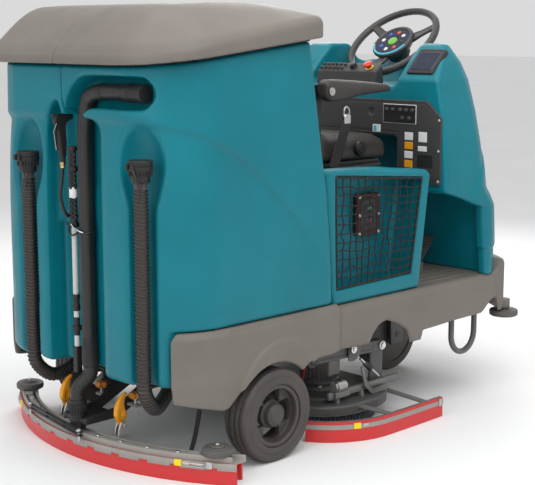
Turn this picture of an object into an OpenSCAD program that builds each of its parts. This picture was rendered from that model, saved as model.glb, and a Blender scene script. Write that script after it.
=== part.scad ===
// Ride-on floor scrubber, built as separate pieces on a steel frame.
// The machine faces -Y, its right side is -X, and the floor is z = 0.
// Every module is drawn about the rear axle's line, and from_axle() moves it to the row's origin.

/* [Body] */
// Half width of the tanks at their sides
body_half_w = 485; // [430:1:560]
// Distance from the rear axle back to the tanks' rear face
tank_rear = 440; // [400:1:520]
// Radius of the tanks' rear corners, seen from above
rear_corner_r = 230; // [150:1:260]
// Height of the tanks' underside
tank_floor_z = 470; // [440:1:520]
// Wall of the moulded tanks and covers
wall = 10; // [6:0.5:16]
// Height of the lid's lower edge at the rear
lid_rear_z = 1272; // [1200:1:1400]
// Height of the lid above its own lower edge at the crown
lid_crown_h = 122; // [100:1:150]

/* [Running board and console] */
// Distance from the rear axle forward to the front of the bumper
front_reach = 1434; // [1380:1:1600]
// Height of the floor that the driver's feet stand on
floor_z = 457; // [440:1:500]
// Height of the console's underside, over the foot well
console_under_z = 772; // [740:1:820]
// Diameter of the steering wheel
steering_d = 400; // [340:1:430]
// Tilt of the steering wheel's face from level
steering_tilt = 41; // [30:1:50]

/* [Wheels] */
// Diameter of the rear tyres
rear_wheel_d = 304; // [260:1:340]
// Width of the rear tyres
rear_wheel_w = 100; // [80:1:110]
// Outer face of the rear tyres, from the centre
rear_track_half = 517; // [505:1:580]
// Diameter of the front wheel
front_wheel_d = 300; // [260:1:320]
// Diameter of the rear axle
axle_d = 30; // [22:1:40]

/* [Seat] */
// Width of the seat cushion
seat_w = 470; // [400:1:500]
// Thickness of the seat cushion
cushion_h = 105; // [80:1:125]

/* [Scrub head] */
// Diameter of each disc brush
brush_d = 440; // [380:1:446]
// Height of each disc brush, bristles included
brush_h = 62; // [50:1:70]

/* [Rear squeegee] */
// Radius of the squeegee's curve, at the rear blade's outer face
squeegee_r = 986; // [900:1:1100]
// Half of the squeegee's width
squeegee_half = 590; // [560:1:640]
// Height of the squeegee blades
blade_h = 70; // [55:1:76]

/* [Hidden] */
// running clearance round pins and axles, and the gap between curved neighbours
fit = 0.05;
gap = 0.4;
eps = 0.01;
big = 3000;

// overall places, measured from the rear axle
lid_overhang = 30;
axle_y = (front_reach - tank_rear - lid_overhang) / 2;
axle_z = rear_wheel_d / 2;
seam_x = 14;
seam_gap = 1;

// tank
lid_slope = 0.119;
gasket_h = 8;
tank_front_top = -181;
tank_front_low = -296;
front_corner_r = 45;
crease_z = lid_rear_z - 140;
low_tank_z = 292;
low_tank_half = 426;
low_tank_front = 205;
channel_depth = 80;
channel_x = [-209, 128];
channel_top = crease_z - 12;
hose_r = 25;
hose_y = tank_rear - channel_depth + hose_r + gap;
hose_x = -34;
suction_end_x = -343;
suction_z = 1189;
drain_r = 26;
drain_right = [-352, tank_rear - 22];
drain_left = [222, tank_rear - 8];
drain_top = 1010;
shelf_z = 1095;
lid_hinge = [-205, 1332];

// frame
rail_x = [305, 360];
rail_z = [344, 424];
board_t = floor_z - rail_z[1];
bearer_y = [-200, 190];
bracket_x = [330, 352];

// running board
board_rear = -312;
board_half = body_half_w + 5;
board_corner = front_reach - 174;
board_wall = 14;
board_lip = 48;
roller_post = [board_half - 22, 33 - board_corner - 66];

// skirts
skirt_out = body_half_w + 15;
skirt_t = 14;
arch_r = rear_wheel_d / 2 + 24;

// seat base
base_half = body_half_w - 15;
base_rear = -262;
base_top = 880;
pocket_depth = 112;
battery_bay = [342, -322, -738];

// console
console_rear = -905;
console_half = 466;
leg_t = 46;
well_front = -1168;
deck_edge_z = 1195;
wing_half = 226;
wing_top = 1328;
steer_centre = [0, -1150, 1332];
panel_t = 8;
valley_z = deck_edge_z - 22;
knee = [236, 170, 985];
pedals = [[-210, 76], [-90, 96]];
pedal_axis = [well_front + 128, floor_z + 22];
pedal_lean = 48;
pedal_length = 128;

// front wheel
fork_y = -1130;
fork_top = 318;
kingpin_r = 24;

// seat
seat_slide_z = base_top + 0.3;
seat_pan_t = 22;
cushion_z = seat_slide_z + seat_pan_t + 0.3;
cushion_y = [-880, -478];
back_x = seat_w / 2 - 8;
arm_pivot = [-452, 1168];
arm_x = [seat_w / 2 + 26, seat_w / 2 + 82];

// scrub head
head_y = -490;
brush_x = 226;
deck_z = brush_h + 14;
arm_root = [-268, 268];
arm_tip = [-632, 256];
lift_x = [392, 404];

// rear squeegee
squeegee_cy = 446 - squeegee_r;
blade_t = 5;
frame_in = squeegee_r - 58;
frame_z = [60, 84];
lift_axis = [128, 214];
port_y = squeegee_cy + (frame_in + squeegee_r - blade_t) / 2;
port_r = 21;
lever = [150, 352, 120];
roller_r = 49;
roller_y = 262;
roller_x = 512;

teal = "#14788c";
taupe = "#7d7873";
dark = "#3a3735";

// ---------- helpers ----------

module from_axle() { translate([0, axle_y, 0]) children(); }

module both_sides() {
    children();
    mirror([1, 0, 0]) children();
}

// points along an arc, from angle a to angle b
function arc(c, r, a, b, n = 8) =
    [for (i = [0:n]) [c[0] + r * cos(a + (b - a) * i / n), c[1] + r * sin(a + (b - a) * i / n)]];

// a rounded rectangle between two corners
function rounded(x, y, r, n = 6) = concat(
    arc([x[1] - r, y[1] - r], r, 0, 90, n), arc([x[0] + r, y[1] - r], r, 90, 180, n),
    arc([x[0] + r, y[0] + r], r, 180, 270, n), arc([x[1] - r, y[0] + r], r, 270, 360, n));

// the tanks' outline from above, set in by a distance
function tank_outline(inset = 0) = let (
    w = body_half_w - inset, yr = tank_rear - inset, yf = tank_front_low - 10 + inset,
    r = rear_corner_r - inset, f = front_corner_r) concat(
    arc([w - r, yr - r], r, 0, 90, 10), arc([r - w, yr - r], r, 90, 180, 10),
    arc([f - w, yf + f], f, 180, 270, 4), arc([w - f, yf + f], f, 270, 360, 4));

// height of the lid's lower edge at a distance behind the axle
function lid_line(y) = lid_rear_z + lid_slope * (tank_rear + lid_overhang - y);

// a solid whose side view is a list of [y, z] points, between two x values
module side_shape(points, x0, x1) {
    translate([x0, 0, 0]) rotate([90, 0, 90]) linear_extrude(x1 - x0) polygon(points);
}

// a solid whose rear view is a list of [x, z] points, between two y values
module rear_shape(points, y0, y1) {
    translate([0, y1, 0]) rotate([90, 0, 0]) linear_extrude(y1 - y0) polygon(points);
}

module box(a, b) { translate(a) cube(b - a); }

module rod_x(x0, x1, y, z, r) {
    translate([x0, y, z]) rotate([0, 90, 0]) cylinder(h = x1 - x0, r = r, $fn = 48);
}

module rod_z(x, y, z0, z1, r) { translate([x, y, z0]) cylinder(h = z1 - z0, r = r, $fn = 48); }

// rings of a round tube along a list of points, closed at both ends
function unit(v) = v / norm(v);
function tangent(p, i) = unit(p[min(i + 1, len(p) - 1)] - p[max(i - 1, 0)]);
function side_of(t) = unit(cross(t, abs(t[0]) < 0.9 ? [1, 0, 0] : [0, 1, 0]));
function next_side(t, s) = unit(s - t * (t * s));
function sides(p, i = 0, s = undef, out = []) = i == len(p) ? out :
    let (t = tangent(p, i), n = s == undef ? side_of(t) : next_side(t, s))
    sides(p, i + 1, n, concat(out, [n]));
module tube(p, r, k = 10) {
    s = sides(p);
    n = len(p);
    rings = [for (i = [0:n - 1]) for (j = [0:k - 1])
        let (t = tangent(p, i), a = 360 * j / k) p[i] + r * (cos(a) * s[i] + sin(a) * cross(t, s[i]))];
    walls = [for (i = [0:n - 2]) for (j = [0:k - 1]) each [
        [i * k + j, i * k + (j + 1) % k, (i + 1) * k + (j + 1) % k],
        [i * k + j, (i + 1) * k + (j + 1) % k, (i + 1) * k + j]]];
    caps = concat([[for (j = [k - 1:-1:0]) j]], [[for (j = [0:k - 1]) (n - 1) * k + j]]);
    polyhedron(points = rings, faces = [for (f = concat(walls, caps)) [for (m = [len(f) - 1:-1:0]) f[m]]]);
}

// a smooth route through hand-chosen points
function spline_at(a, b, c, d, t) = 0.5 * (2 * b + (c - a) * t + (2 * a - 5 * b + 4 * c - d) * t * t
    + (3 * b - a - 3 * c + d) * t * t * t);
function smooth(p, m = 4) = let (n = len(p)) concat([for (i = [0:n - 2]) for (j = [0:m - 1])
    spline_at(p[max(i - 1, 0)], p[i], p[i + 1], p[min(i + 2, n - 1)], j / m)], [p[n - 1]]);

// ---------- frame ----------

module frame() from_axle() color("#2b2b2d") {
    front_end = -front_reach + 150;
    difference() {
        union() {
            both_sides() {
                box([rail_x[0], front_end, rail_z[0]], [rail_x[1], bearer_y[1], rail_z[1]]);
                box([rail_x[0], bearer_y[0], rail_z[1]], [rail_x[1], bearer_y[1], tank_floor_z]);
                box([bracket_x[0], -45, axle_z - 30], [bracket_x[1], 45, rail_z[0]]);
                box([rail_x[1] - eps, arm_root[0] - 22, arm_root[1] - 22],
                    [lift_x[0] - gap - 16, arm_root[0] + 22, rail_z[1]]);
            }
            box([-rail_x[0], bearer_y[1] - 40, rail_z[0]], [rail_x[0], bearer_y[1], rail_z[1]]);
            box([-rail_x[0], -250, rail_z[0]], [rail_x[0], -210, rail_z[1]]);
            box([-rail_x[0], fork_y - 70, rail_z[1] - 40], [rail_x[0], fork_y + 70, rail_z[1]]);
            both_sides() rod_x(lift_x[0] - gap - 16 - eps, lift_x[1] + 8, arm_root[0], arm_root[1], 10);
            both_sides() box([70, 60, lift_axis[1] - 26], [84, bearer_y[1] - 10, rail_z[0]]);
            both_sides() box([70, bearer_y[1] - 40, rail_z[0] - 20], [84, bearer_y[1], rail_z[0] + eps]);
            rod_x(-84, 84, lift_axis[0], lift_axis[1], 9);
        }
        rod_x(-big, big, 0, axle_z, axle_d / 2 + fit);
        rod_z(0, fork_y, 0, big, kingpin_r + fit);
    }
}

// ---------- running board ----------

function board_plan(inset = 0) = let (
    h = board_half - inset, yc = -board_corner + inset, yf = -front_reach + inset, s = yc - yf,
    r = (h * h + s * s) / (2 * s), a = asin(h / r)) concat(
    [[h, board_rear], [-h, board_rear]], arc([0, yf + r], r, 270 - a, 270 + a, 16));

function board_side() = [
    [board_rear, 306], [-473, 298], [-491, 332], [-522, 362], [-565, 370], [-631, 344], [-676, 318],
    [-700, 262], [-768, 262], [-772, 299], [-932, 304], [-1126, 308], [-1182, 352], [-1215, 359],
    [-1236, 300], [-front_reach - 1, 300], [-front_reach - 1, floor_z + board_lip],
    [-board_corner + 10, floor_z + board_lip], [-board_corner + 70, floor_z], [board_rear, floor_z]];

module running_board() from_axle() color(taupe) {
    difference() {
        intersection() {
            translate([0, 0, 200]) linear_extrude(400) polygon(board_plan());
            side_shape(board_side(), -big / 2, big / 2);
        }
        difference() {
            translate([0, 0, 100]) linear_extrude(rail_z[1] - 100) polygon(board_plan(board_wall));
            box([-big, -big, 0], [big, -front_reach + 34, big]);
        }
        box([-board_half + board_wall, board_rear - 1, 0], [board_half - board_wall, 0, rail_z[1]]);
        rod_z(0, fork_y, 0, floor_z - 12, kingpin_r + 10);
    }
    // ears and pins of the corner rollers
    both_sides() {
        rod_z(roller_post[0], roller_post[1], 301, 330, 24);
        rod_z(roller_post[0], roller_post[1], 264, 302, 9);
    }
    // bearings of the pedals
    for (p = pedals) for (s = [-1, 1]) difference() {
        box([p[0] + s * (p[1] / 2 + 5) - 4, pedal_axis[0] - 14, floor_z - eps],
            [p[0] + s * (p[1] / 2 + 5) + 4, pedal_axis[0] + 14, pedal_axis[1] + 13]);
        rod_x(-big, big, pedal_axis[0], pedal_axis[1], 8 + fit);
    }
}

module tie_down_loops() from_axle() color("#6f7173") {
    x = 440;
    ends = [-996, -1138];
    mid = (ends[0] + ends[1]) / 2;
    r = (ends[0] - ends[1]) / 2;
    both_sides() {
        for (y = ends) rod_z(x, y, 90 + r, rail_z[1], 11);
        translate([x, mid, 90 + r]) rotate([0, 90, 0]) rotate([0, 0, -90]) rotate_extrude(angle = 180, $fn = 64)
            translate([r, 0]) circle(r = 11, $fn = 24);
    }
}

module front_roller(side) from_axle() color(dark) {
    translate([side * roller_post[0], roller_post[1], 270]) difference() {
        cylinder(h = 29, r = 56, $fn = 64);
        translate([0, 0, -1]) cylinder(h = 31, r = 9 + fit, $fn = 32);
    }
}

// ---------- skirts ----------

function skirt_side() = concat(
    [[460, tank_floor_z], [400, 262], [198, 209], [arch_r * cos(40), axle_z + arch_r * sin(40)]],
    arc([0, axle_z], arch_r, 46, 134, 8),
    [[-150, 300], [-281, 304], [board_rear + 2, 310], [board_rear + 2, tank_floor_z]]);

function skirt_plan(out) = let (w = out, yr = tank_rear + out - body_half_w, r = rear_corner_r + out - body_half_w)
    concat(arc([w - r, yr - r], r, 0, 90, 10), arc([r - w, yr - r], r, 90, 180, 10),
        [[-w, board_rear + 2], [w, board_rear + 2]]);

module rear_skirts() from_axle() color(taupe) both_sides() difference() {
    intersection() {
        union() {
            difference() {
                translate([0, 0, 150]) linear_extrude(tank_floor_z - 150) polygon(skirt_plan(skirt_out));
                translate([0, 0, 100]) linear_extrude(500) polygon(skirt_plan(skirt_out - skirt_t));
                box([-big, -big, 0], [big, board_rear + 3, big]);
            }
            intersection() {
                translate([0, 0, tank_floor_z - 14]) linear_extrude(14) polygon(skirt_plan(skirt_out - 2));
                box([rail_x[1], bearer_y[0], 0], [big, bearer_y[1], big]);
            }
        }
        side_shape(skirt_side(), -big / 2, big / 2);
        box([rail_x[1], -big, 0], [big, big, big]);
    }
    box([0, 300, 0], [low_tank_half + 4, big, big]);
}

// ---------- tanks and lids ----------

function tank_side(inset = 0) = [
    [tank_rear - inset, tank_floor_z + inset], [tank_rear + 4 - inset, 800],
    [tank_rear - 6 - inset, crease_z - 30], [tank_rear + 4 - inset, crease_z + 8],
    [tank_rear - inset, lid_line(tank_rear) - gasket_h],
    [tank_front_top + inset, lid_line(tank_front_top) - gasket_h],
    [-231 + inset, 992], [-256 + inset, 859], [-278 + inset, 657],
    [tank_front_low + inset, tank_floor_z + inset]];

function tank_rear_view(inset = 0) = let (w = body_half_w - inset, z1 = lid_line(tank_front_top)) [
    [-w, 0], [w, 0], [w, 1000], [w - 2, crease_z], [w - 8, z1], [8 - w, z1], [2 - w, crease_z], [-w, 1000]];

module channels(grow = 0) {
    floor_y = tank_rear - channel_depth - grow;
    rear_shape(rounded([channel_x[0] - grow, channel_x[1] + grow], [100, channel_top + grow], 40 + grow),
        floor_y, tank_rear + 60);
    rear_shape(rounded([-356 - grow, 60 + grow], [crease_z + 4 - grow, crease_z + 106 + grow], 45),
        floor_y, tank_rear + 60);
    rear_shape(rounded([hose_x - 55 - grow, hose_x + 60 + grow], [900, crease_z + 60], 20), floor_y, tank_rear + 60);
    for (d = [drain_right, drain_left]) {
        rod_z(d[0], d[1], 100, drain_top + grow, drain_r + 16 + grow);
        translate([d[0], d[1], drain_top + grow]) sphere(r = drain_r + 16 + grow, $fn = 48);
    }
}

module tank_block(x0, x1, inset) {
    // main volume and the lower part that hangs between the skirts
    intersection() {
        translate([0, 0, 200]) linear_extrude(1400) polygon(tank_outline(inset));
        side_shape(tank_side(inset), x0, x1);
        rear_shape(tank_rear_view(inset), -big / 2, big / 2);
    }
    intersection() {
        translate([0, 0, low_tank_z + inset]) linear_extrude(tank_floor_z - low_tank_z + 20)
            polygon(tank_outline(inset));
        box([max(x0, -low_tank_half + inset), low_tank_front + inset, 0],
            [min(x1, low_tank_half - inset), tank_rear - inset, big]);
    }
}

module recovery_tank() from_axle() color(teal) {
    x1 = seam_x - seam_gap / 2;
    union() {
        union() {
            difference() {
                tank_block(-big / 2, x1, 0);
                channels();
                difference() {
                    tank_block(-big / 2, x1 - wall, wall);
                    channels(wall);
                }
                // mouth under the lid
                difference() {
                    translate([0, 0, 1240]) linear_extrude(200) polygon(tank_outline(26));
                    box([x1 - 26, -big, 0], [big, big, big]);
                    box([-big, tank_rear - channel_depth - wall, 0], [big, big, big]);
                    box([-big, -big, 0], [big, tank_front_top + 26, big]);
                }
            }
            box([-body_half_w + 5, -200, shelf_z], [x1 - 2, 10, shelf_z + wall]);
            for (x = [-380, -110]) {
                box([x, lid_hinge[0] - 9, lid_hinge[1] - 20], [x + 12, -179.5, lid_hinge[1] + 8]);
                rod_x(x, x + 40, lid_hinge[0], lid_hinge[1], 4);
            }
            // socket of the suction hose's upper end
            rod_x(suction_end_x - 14, suction_end_x - gap, hose_y, suction_z, hose_r + 5);
        }
    }
}

module solution_tank() from_axle() color(teal) {
    x0 = seam_x + seam_gap / 2;
    difference() {
        tank_block(x0, big / 2, 0);
        channels();
        difference() {
            tank_block(x0 + wall, big / 2, wall);
            channels(wall);
            box([-big, -big, lid_line(tank_rear) - gasket_h - wall], [big, big, big]);
        }
        // filler neck
        rod_z(260, 120, 1200, 1400, 75);
    }
}

// the lid's closed outer form, its walls set in by a distance
module lid_form(x0, x1, inset) {
    half = body_half_w + lid_overhang - inset;
    yr = tank_rear + lid_overhang - inset;
    yf = tank_front_top - lid_overhang - 22 + inset;
    r = rear_corner_r + lid_overhang - 40 - inset;
    f = 60;
    low = -inset * 0.02;
    rim = 52;
    crown = lid_rear_z + lid_crown_h + 80;
    top = crown - inset;
    plan = concat(arc([half - r, yr - r], r, 0, 90, 10), arc([r - half, yr - r], r, 90, 180, 10),
        arc([f - half, yf + f], f, 180, 270, 6), arc([half - f, yf + f], f, 270, 360, 6));
    side = concat([[yr + 1, lid_line(yr + 1) + low], [yr + 1, lid_line(yr) + rim - inset]],
        [[yr - 36, lid_line(yr) + rim + 42 - inset], [yr - 140, top - 31], [yr - 338, top - 16],
         [yr - 486, top - 6], [yf + 90, top - 10], [yf + 30, top - 36], [yf - 1, top - 92],
         [yf - 1, lid_line(yf - 1) + low]]);
    rear = [[-half - 1, 1200], [half + 1, 1200], [half + 1, crown - 68 - inset], [half - 26, crown - 40 - inset],
        [half - 130, top - 14], [half - 290, top], [290 - half, top], [130 - half, top - 14],
        [26 - half, crown - 40 - inset], [-half - 1, crown - 68 - inset]];
    intersection() {
        translate([0, 0, 1100]) linear_extrude(500) polygon(plan);
        side_shape(side, x0, x1);
        rear_shape(rear, -big / 2, big / 2);
    }
}

module recovery_lid() from_axle() color(taupe) {
    x1 = seam_x - seam_gap;
    difference() {
        union() {
            difference() {
                lid_form(-big / 2, x1, 0);
                translate([0, 0, -1]) lid_form(-big / 2, x1 - wall, wall);
            }
            for (x = [-366, -96]) {
                rod_x(x, x + 24, lid_hinge[0], lid_hinge[1], 9);
                box([x, lid_hinge[0] - 7, lid_hinge[1] + 3], [x + 24, lid_hinge[0] + 7, lid_line(lid_hinge[0]) + 30]);
            }
        }
        for (x = [-366, -96]) rod_x(x - 1, x + 25, lid_hinge[0], lid_hinge[1], 4 + fit);
    }
}

module solution_cover() from_axle() color(taupe) {
    x0 = seam_x + seam_gap;
    difference() {
        lid_form(x0, big / 2, 0);
        translate([0, 0, -1]) lid_form(x0 + wall, big / 2, wall);
    }
}

module lid_gasket() from_axle() color("#1a1a1a") {
    y = tank_front_top + 2;
    seal = [[tank_rear, lid_line(tank_rear) - gasket_h + 0.1], [tank_rear, lid_line(tank_rear) - 0.2],
        [y, lid_line(y) - 0.2], [y, lid_line(y) - gasket_h + 0.1]];
    difference() {
        intersection() {
            translate([0, 0, 1100]) linear_extrude(400) polygon(tank_outline(10));
            side_shape(seal, -big / 2, big / 2);
        }
        intersection() {
            translate([0, 0, 1000]) linear_extrude(600) polygon(tank_outline(24));
            box([-big, y + 16, 0], [big, big, big]);
        }
    }
}

module vacuum_fan() from_axle() color("#55585c") {
    translate([-220, -90, shelf_z + wall]) {
        cylinder(h = 34, r = 84, $fn = 64);
        translate([0, 0, 34 - eps]) cylinder(h = 80, r = 62, $fn = 64);
        translate([0, 0, 114 - 2 * eps]) cylinder(h = 24, r = 40, $fn = 48);
    }
}

// ---------- seat base ----------

module seat_base() from_axle() color(teal) {
    difference() {
        side_shape([[base_rear - 42, floor_z], [base_rear, 920], [-817, 873], [-764, floor_z]], -base_half, base_half);
        // flat top under the seat, and the battery bay below it
        box([-body_half_w + 90, -big, base_top], [body_half_w - 90, big, big]);
        box([-battery_bay[0], battery_bay[2], floor_z + wall], [battery_bay[0], battery_bay[1], big]);
        // side pockets behind the nets
        both_sides() side_shape([[-322, 512], [-314, 896], [-768, 858], [-712, 519]],
            base_half - pocket_depth, base_half + 1);
    }
}

module batteries() from_axle() color("#26282b") {
    // two rows of three, each battery a little smaller than its share of the bay
    w = 2 * battery_bay[0] / 3;
    d = (battery_bay[1] - battery_bay[2]) / 2;
    for (i = [0:2]) for (j = [0:1])
        box([-battery_bay[0] + i * w + 8, battery_bay[2] + j * d + 6, floor_z + wall],
            [-battery_bay[0] + (i + 1) * w - 8, battery_bay[2] + (j + 1) * d - 6, 748]);
}

module side_nets() from_axle() color("#1d1f20") both_sides()
    side_shape([[-323, 513], [-315, 895], [-767, 857], [-712, 520]], base_half - 9, base_half - 6);

module charger_panel() from_axle() color("#2a2c2e") {
    x = base_half - pocket_depth;
    translate([-x - 0.01, -640, 660]) rotate([0, -90, 0]) linear_extrude(26) polygon(rounded([0, 150], [0, 120], 12));
}

// ---------- console ----------

module console_slice(z, half, rear, corner, front) {
    s = corner - front;
    r = (half * half + s * s) / (2 * s);
    a = asin(min(1, half / r));
    translate([0, 0, z]) linear_extrude(0.5)
        polygon(concat([[half, rear], [-half, rear]], arc([0, front + r], r, 270 - a, 270 + a, 14)));
}

module console_upper(inset = 0) {
    i = inset;
    hull() {
        console_slice(console_under_z + i, console_half + 6 - i, console_rear - i, -1150 + i, -1330 + i);
        console_slice(970, console_half - 6 - i, console_rear - i, -1124 + i, -1310 + i);
        console_slice(deck_edge_z - i, console_half - 46 - i, console_rear - i, -1092 + i, -1280 + i);
        console_slice(wing_top - i, console_half - 122 - i, -1040 - i, -1064 + i, -1190 + i);
    }
}

module console_lower() {
    hull() {
        console_slice(floor_z, board_half - 2, -1140, -1200, -front_reach + 40);
        console_slice(718, board_half - 6, -1120, -1196, -front_reach + 50);
        console_slice(console_under_z + 1, console_half + 6, -1112, -1150, -1330);
    }
}

module console_cowl() from_axle() color(teal) {
    // foot of the slope behind the wheel, and its upper end
    up = [steer_centre[1] - 90 * sin(steering_tilt) - 8, steer_centre[2] - 90 * cos(steering_tilt)];
    foot = up[0] + (up[1] - valley_z) / tan(steering_tilt);
    difference() {
        union() {
            console_upper();
            console_lower();
        }
        difference() {
            console_upper(12);
            knee_space(12);
        }
        knee_space();
        steering_shaft(26 + gap);
        // the running board's top, with its raised lip
        side_shape([[0, 0], [0, floor_z], [70 - board_corner, floor_z], [10 - board_corner, floor_z + board_lip],
            [-big, floor_z + board_lip], [-big, 0]], -big, big);
        // foot well
        box([-board_half + leg_t, well_front, floor_z - 1], [board_half - leg_t, 0, console_under_z]);
        // valley that the steering wheel turns in
        side_shape([[0, valley_z], [foot, valley_z], up, [up[0] - 300, up[1] + 300 * tan(steering_tilt)], [0, 1700]],
            -wing_half, wing_half);
    }
    // floor of the valley
    difference() {
        intersection() {
            side_shape([[console_rear, valley_z], [foot, valley_z], up, up - [10, 12],
                [foot - 2, valley_z - 12], [console_rear, valley_z - 12]], -wing_half - 12, wing_half + 12);
            console_upper(1);
        }
        steering_shaft(26 + gap);
    }
    for (s = [-1, 1])
        intersection() {
            box([s * (wing_half + 6) - 6, -big, valley_z - 12], [s * (wing_half + 6) + 6, 0, wing_top]);
            console_upper(1);
        }
}

// room for the driver's knees under the middle of the console
module knee_space(grow = 0) {
    box([-knee[0] - grow, console_rear - knee[1] - grow, 0], [knee[0] + grow, 0, knee[2] + grow]);
}

module console_panel() from_axle() color("#3c3d40") {
    y = console_rear;
    in = knee[0] + 3;
    rear_shape([[-448, 812], [-in, 812], [-in, knee[2] + 3], [in, knee[2] + 3], [in, 812], [448, 812],
        [448, 1062], [380, 1122], [-380, 1122], [-448, 1062]], y, y + panel_t);
    rear_shape(rounded([-300, -130], [1040, 1100], 6), y + panel_t - eps, y + panel_t + 4);
    for (i = [0:4]) translate([-280 + i * 32, y + panel_t + 4 - eps, 1072]) rotate([-90, 0, 0])
        cylinder(h = 9, r = 8, $fn = 24);
}

// local frame on the sloping deck of the wings: +Z is its normal, -Y runs up the slope
deck_tilt = atan((wing_top - deck_edge_z) / (console_rear + 1040));
module on_deck(x, up) {
    translate([x, console_rear, deck_edge_z]) rotate([-deck_tilt, 0, 0]) translate([0, -up, 0]) children();
}

module instrument_cluster() from_axle() color("#66686b") {
    on_deck(-320, 88) translate([0, 0, 0.8]) linear_extrude(8) polygon(rounded([-62, 62], [-62, 62], 10));
    difference() {
        side_shape([[console_rear - 8, valley_z], [console_rear - 12, valley_z + 48],
            [console_rear - 58, valley_z + 78], [console_rear - 66, valley_z]], -110, 196);
        for (x = [knob_x, stop_x]) on_cluster(x) translate([0, 0, -12]) cylinder(h = 60, r = 7 + fit, $fn = 32);
    }
}

knob_x = 20;
stop_x = -60;
// a place on the cluster's sloping top
module on_cluster(x) { translate([x, console_rear - 35, valley_z + 63]) rotate([-33, 0, 0]) children(); }

module speed_knob() from_axle() color("#1c1c1e") on_cluster(knob_x) {
    translate([0, 0, -11]) cylinder(h = 16, r = 7, $fn = 32);
    translate([0, 0, 0.6]) cylinder(h = 16, r = 16, $fn = 48);
}

module emergency_stop() from_axle() color("#b3201d") on_cluster(stop_x) {
    translate([0, 0, -5]) cylinder(h = 16, r = 7, $fn = 32);
    translate([0, 0, 8]) cylinder(h = 14, r = 19, $fn = 48);
}

// a piece placed about the steering wheel's own axis
module on_steering() { translate(steer_centre) rotate([-steering_tilt, 0, 0]) children(); }

module steering_shaft(r) { on_steering() translate([0, 0, -150]) cylinder(h = 115.7, r = r, $fn = 48); }

module steering_column() from_axle() color("#2d2d2f") {
    steering_shaft(26);
    on_steering() translate([0, 0, -76]) cylinder(h = 41.7, r = 46, $fn = 64);
}

module steering_wheel() from_axle() color("#3a3434") on_steering() {
    r = steering_d / 2 - 15;
    rotate_extrude($fn = 96) translate([r, 0]) circle(r = 15, $fn = 24);
    difference() {
        union() {
            translate([0, 0, -34]) cylinder(h = 38, r = 78, $fn = 64);
            for (a = [90, 210, 330]) rotate([0, 0, a]) translate([60, -19, -16]) cube([r - 62, 38, 14]);
        }
        translate([0, 0, -20]) cylinder(h = 40, r = 24 + fit, $fn = 48);
    }
}

module horn_button() from_axle() color("#4f9a3c") on_steering() translate([0, 0, -12]) cylinder(h = 20, r = 24, $fn = 48);

// a floor-hinged pedal whose plate leans forward
module pedal(p) {
    rod_x(p[0] - p[1] / 2 - 9, p[0] + p[1] / 2 + 9, pedal_axis[0], pedal_axis[1], 8);
    translate([p[0] - p[1] / 2, pedal_axis[0], pedal_axis[1]]) rotate([pedal_lean, 0, 0])
        translate([0, -6, 0]) cube([p[1], 12, pedal_length]);
}

module accelerator_pedal() from_axle() color("#232325") pedal(pedals[0]);

module brake_pedal() from_axle() color("#232325") pedal(pedals[1]);

// ---------- wheels ----------

module rear_axle() from_axle() color("#8d9093") {
    rod_x(-rear_track_half + 10, rear_track_half - 10, 0, axle_z, axle_d / 2);
    both_sides() rod_x(bracket_x[1] + gap, rear_track_half - rear_wheel_w - 1, 0, axle_z, axle_d / 2 + 14);
}

module rear_tyre(side) from_axle() color("#4a4240") {
    x = side > 0 ? rear_track_half - rear_wheel_w : -rear_track_half;
    groove = 3;
    translate([x, 0, axle_z]) rotate([90, 0, 90]) difference() {
        translate([0, 0, 0]) rotate_extrude($fn = 96)
            polygon(concat([[rear_wheel_d / 2 - 48, 4], [rear_wheel_d / 2 - 18, 0]],
                arc([rear_wheel_d / 2 - 14, 14], 14, 290, 360, 4),
                arc([rear_wheel_d / 2 - 14, rear_wheel_w - 14], 14, 0, 70, 4),
                [[rear_wheel_d / 2 - 18, rear_wheel_w], [rear_wheel_d / 2 - 48, rear_wheel_w - 4]]));
        for (z = [26, 50, 74]) translate([0, 0, z * rear_wheel_w / 100 - 2.5]) difference() {
            cylinder(h = 5, r = rear_wheel_d, $fn = 96);
            translate([0, 0, -1]) cylinder(h = 7, r = rear_wheel_d / 2 - groove, $fn = 96);
        }
    }
}

module rear_rim(side) from_axle() color("#4d4846") {
    x = side > 0 ? rear_track_half - rear_wheel_w : -rear_track_half;
    seat = rear_wheel_d / 2 - 48;
    translate([x, 0, axle_z]) rotate([90, 0, 90]) difference() {
        union() {
            translate([0, 0, 10]) difference() {
                cylinder(h = rear_wheel_w - 20, r = seat, $fn = 96);
                translate([0, 0, -1]) cylinder(h = rear_wheel_w, r = seat - 12, $fn = 96);
            }
            difference() {
                translate([0, 0, rear_wheel_w / 2 - 8]) cylinder(h = 16, r = seat - 11, $fn = 96);
                for (a = [45:90:315]) rotate([0, 0, a]) translate([60, 0, 0]) cylinder(h = big, r = 20, $fn = 32);
            }
            translate([0, 0, 8]) cylinder(h = rear_wheel_w - 16, r = 34, $fn = 64);
        }
        translate([0, 0, -1]) cylinder(h = big, r = axle_d / 2 + fit, $fn = 64);
    }
}

module drive_fork() from_axle() color("#3b3d40") {
    w = 62;
    difference() {
        union() {
            both_sides() side_shape([[fork_y - 36, front_wheel_d / 2 - 36], [fork_y + 36, front_wheel_d / 2 - 36],
                [fork_y + 46, fork_top + 8], [fork_y - 46, fork_top + 8]], w - 12, w + 2);
            box([-w - 2, fork_y - 46, fork_top + 4], [w + 2, fork_y + 46, fork_top + 30]);
            rod_z(0, fork_y, fork_top + 20, rail_z[1] + 18, kingpin_r);
            rod_z(0, fork_y, fork_top + 20, rail_z[1] - 40 - gap, kingpin_r + 20);
        }
        rod_x(-big, big, fork_y, front_wheel_d / 2, 12 + fit);
    }
}

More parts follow.
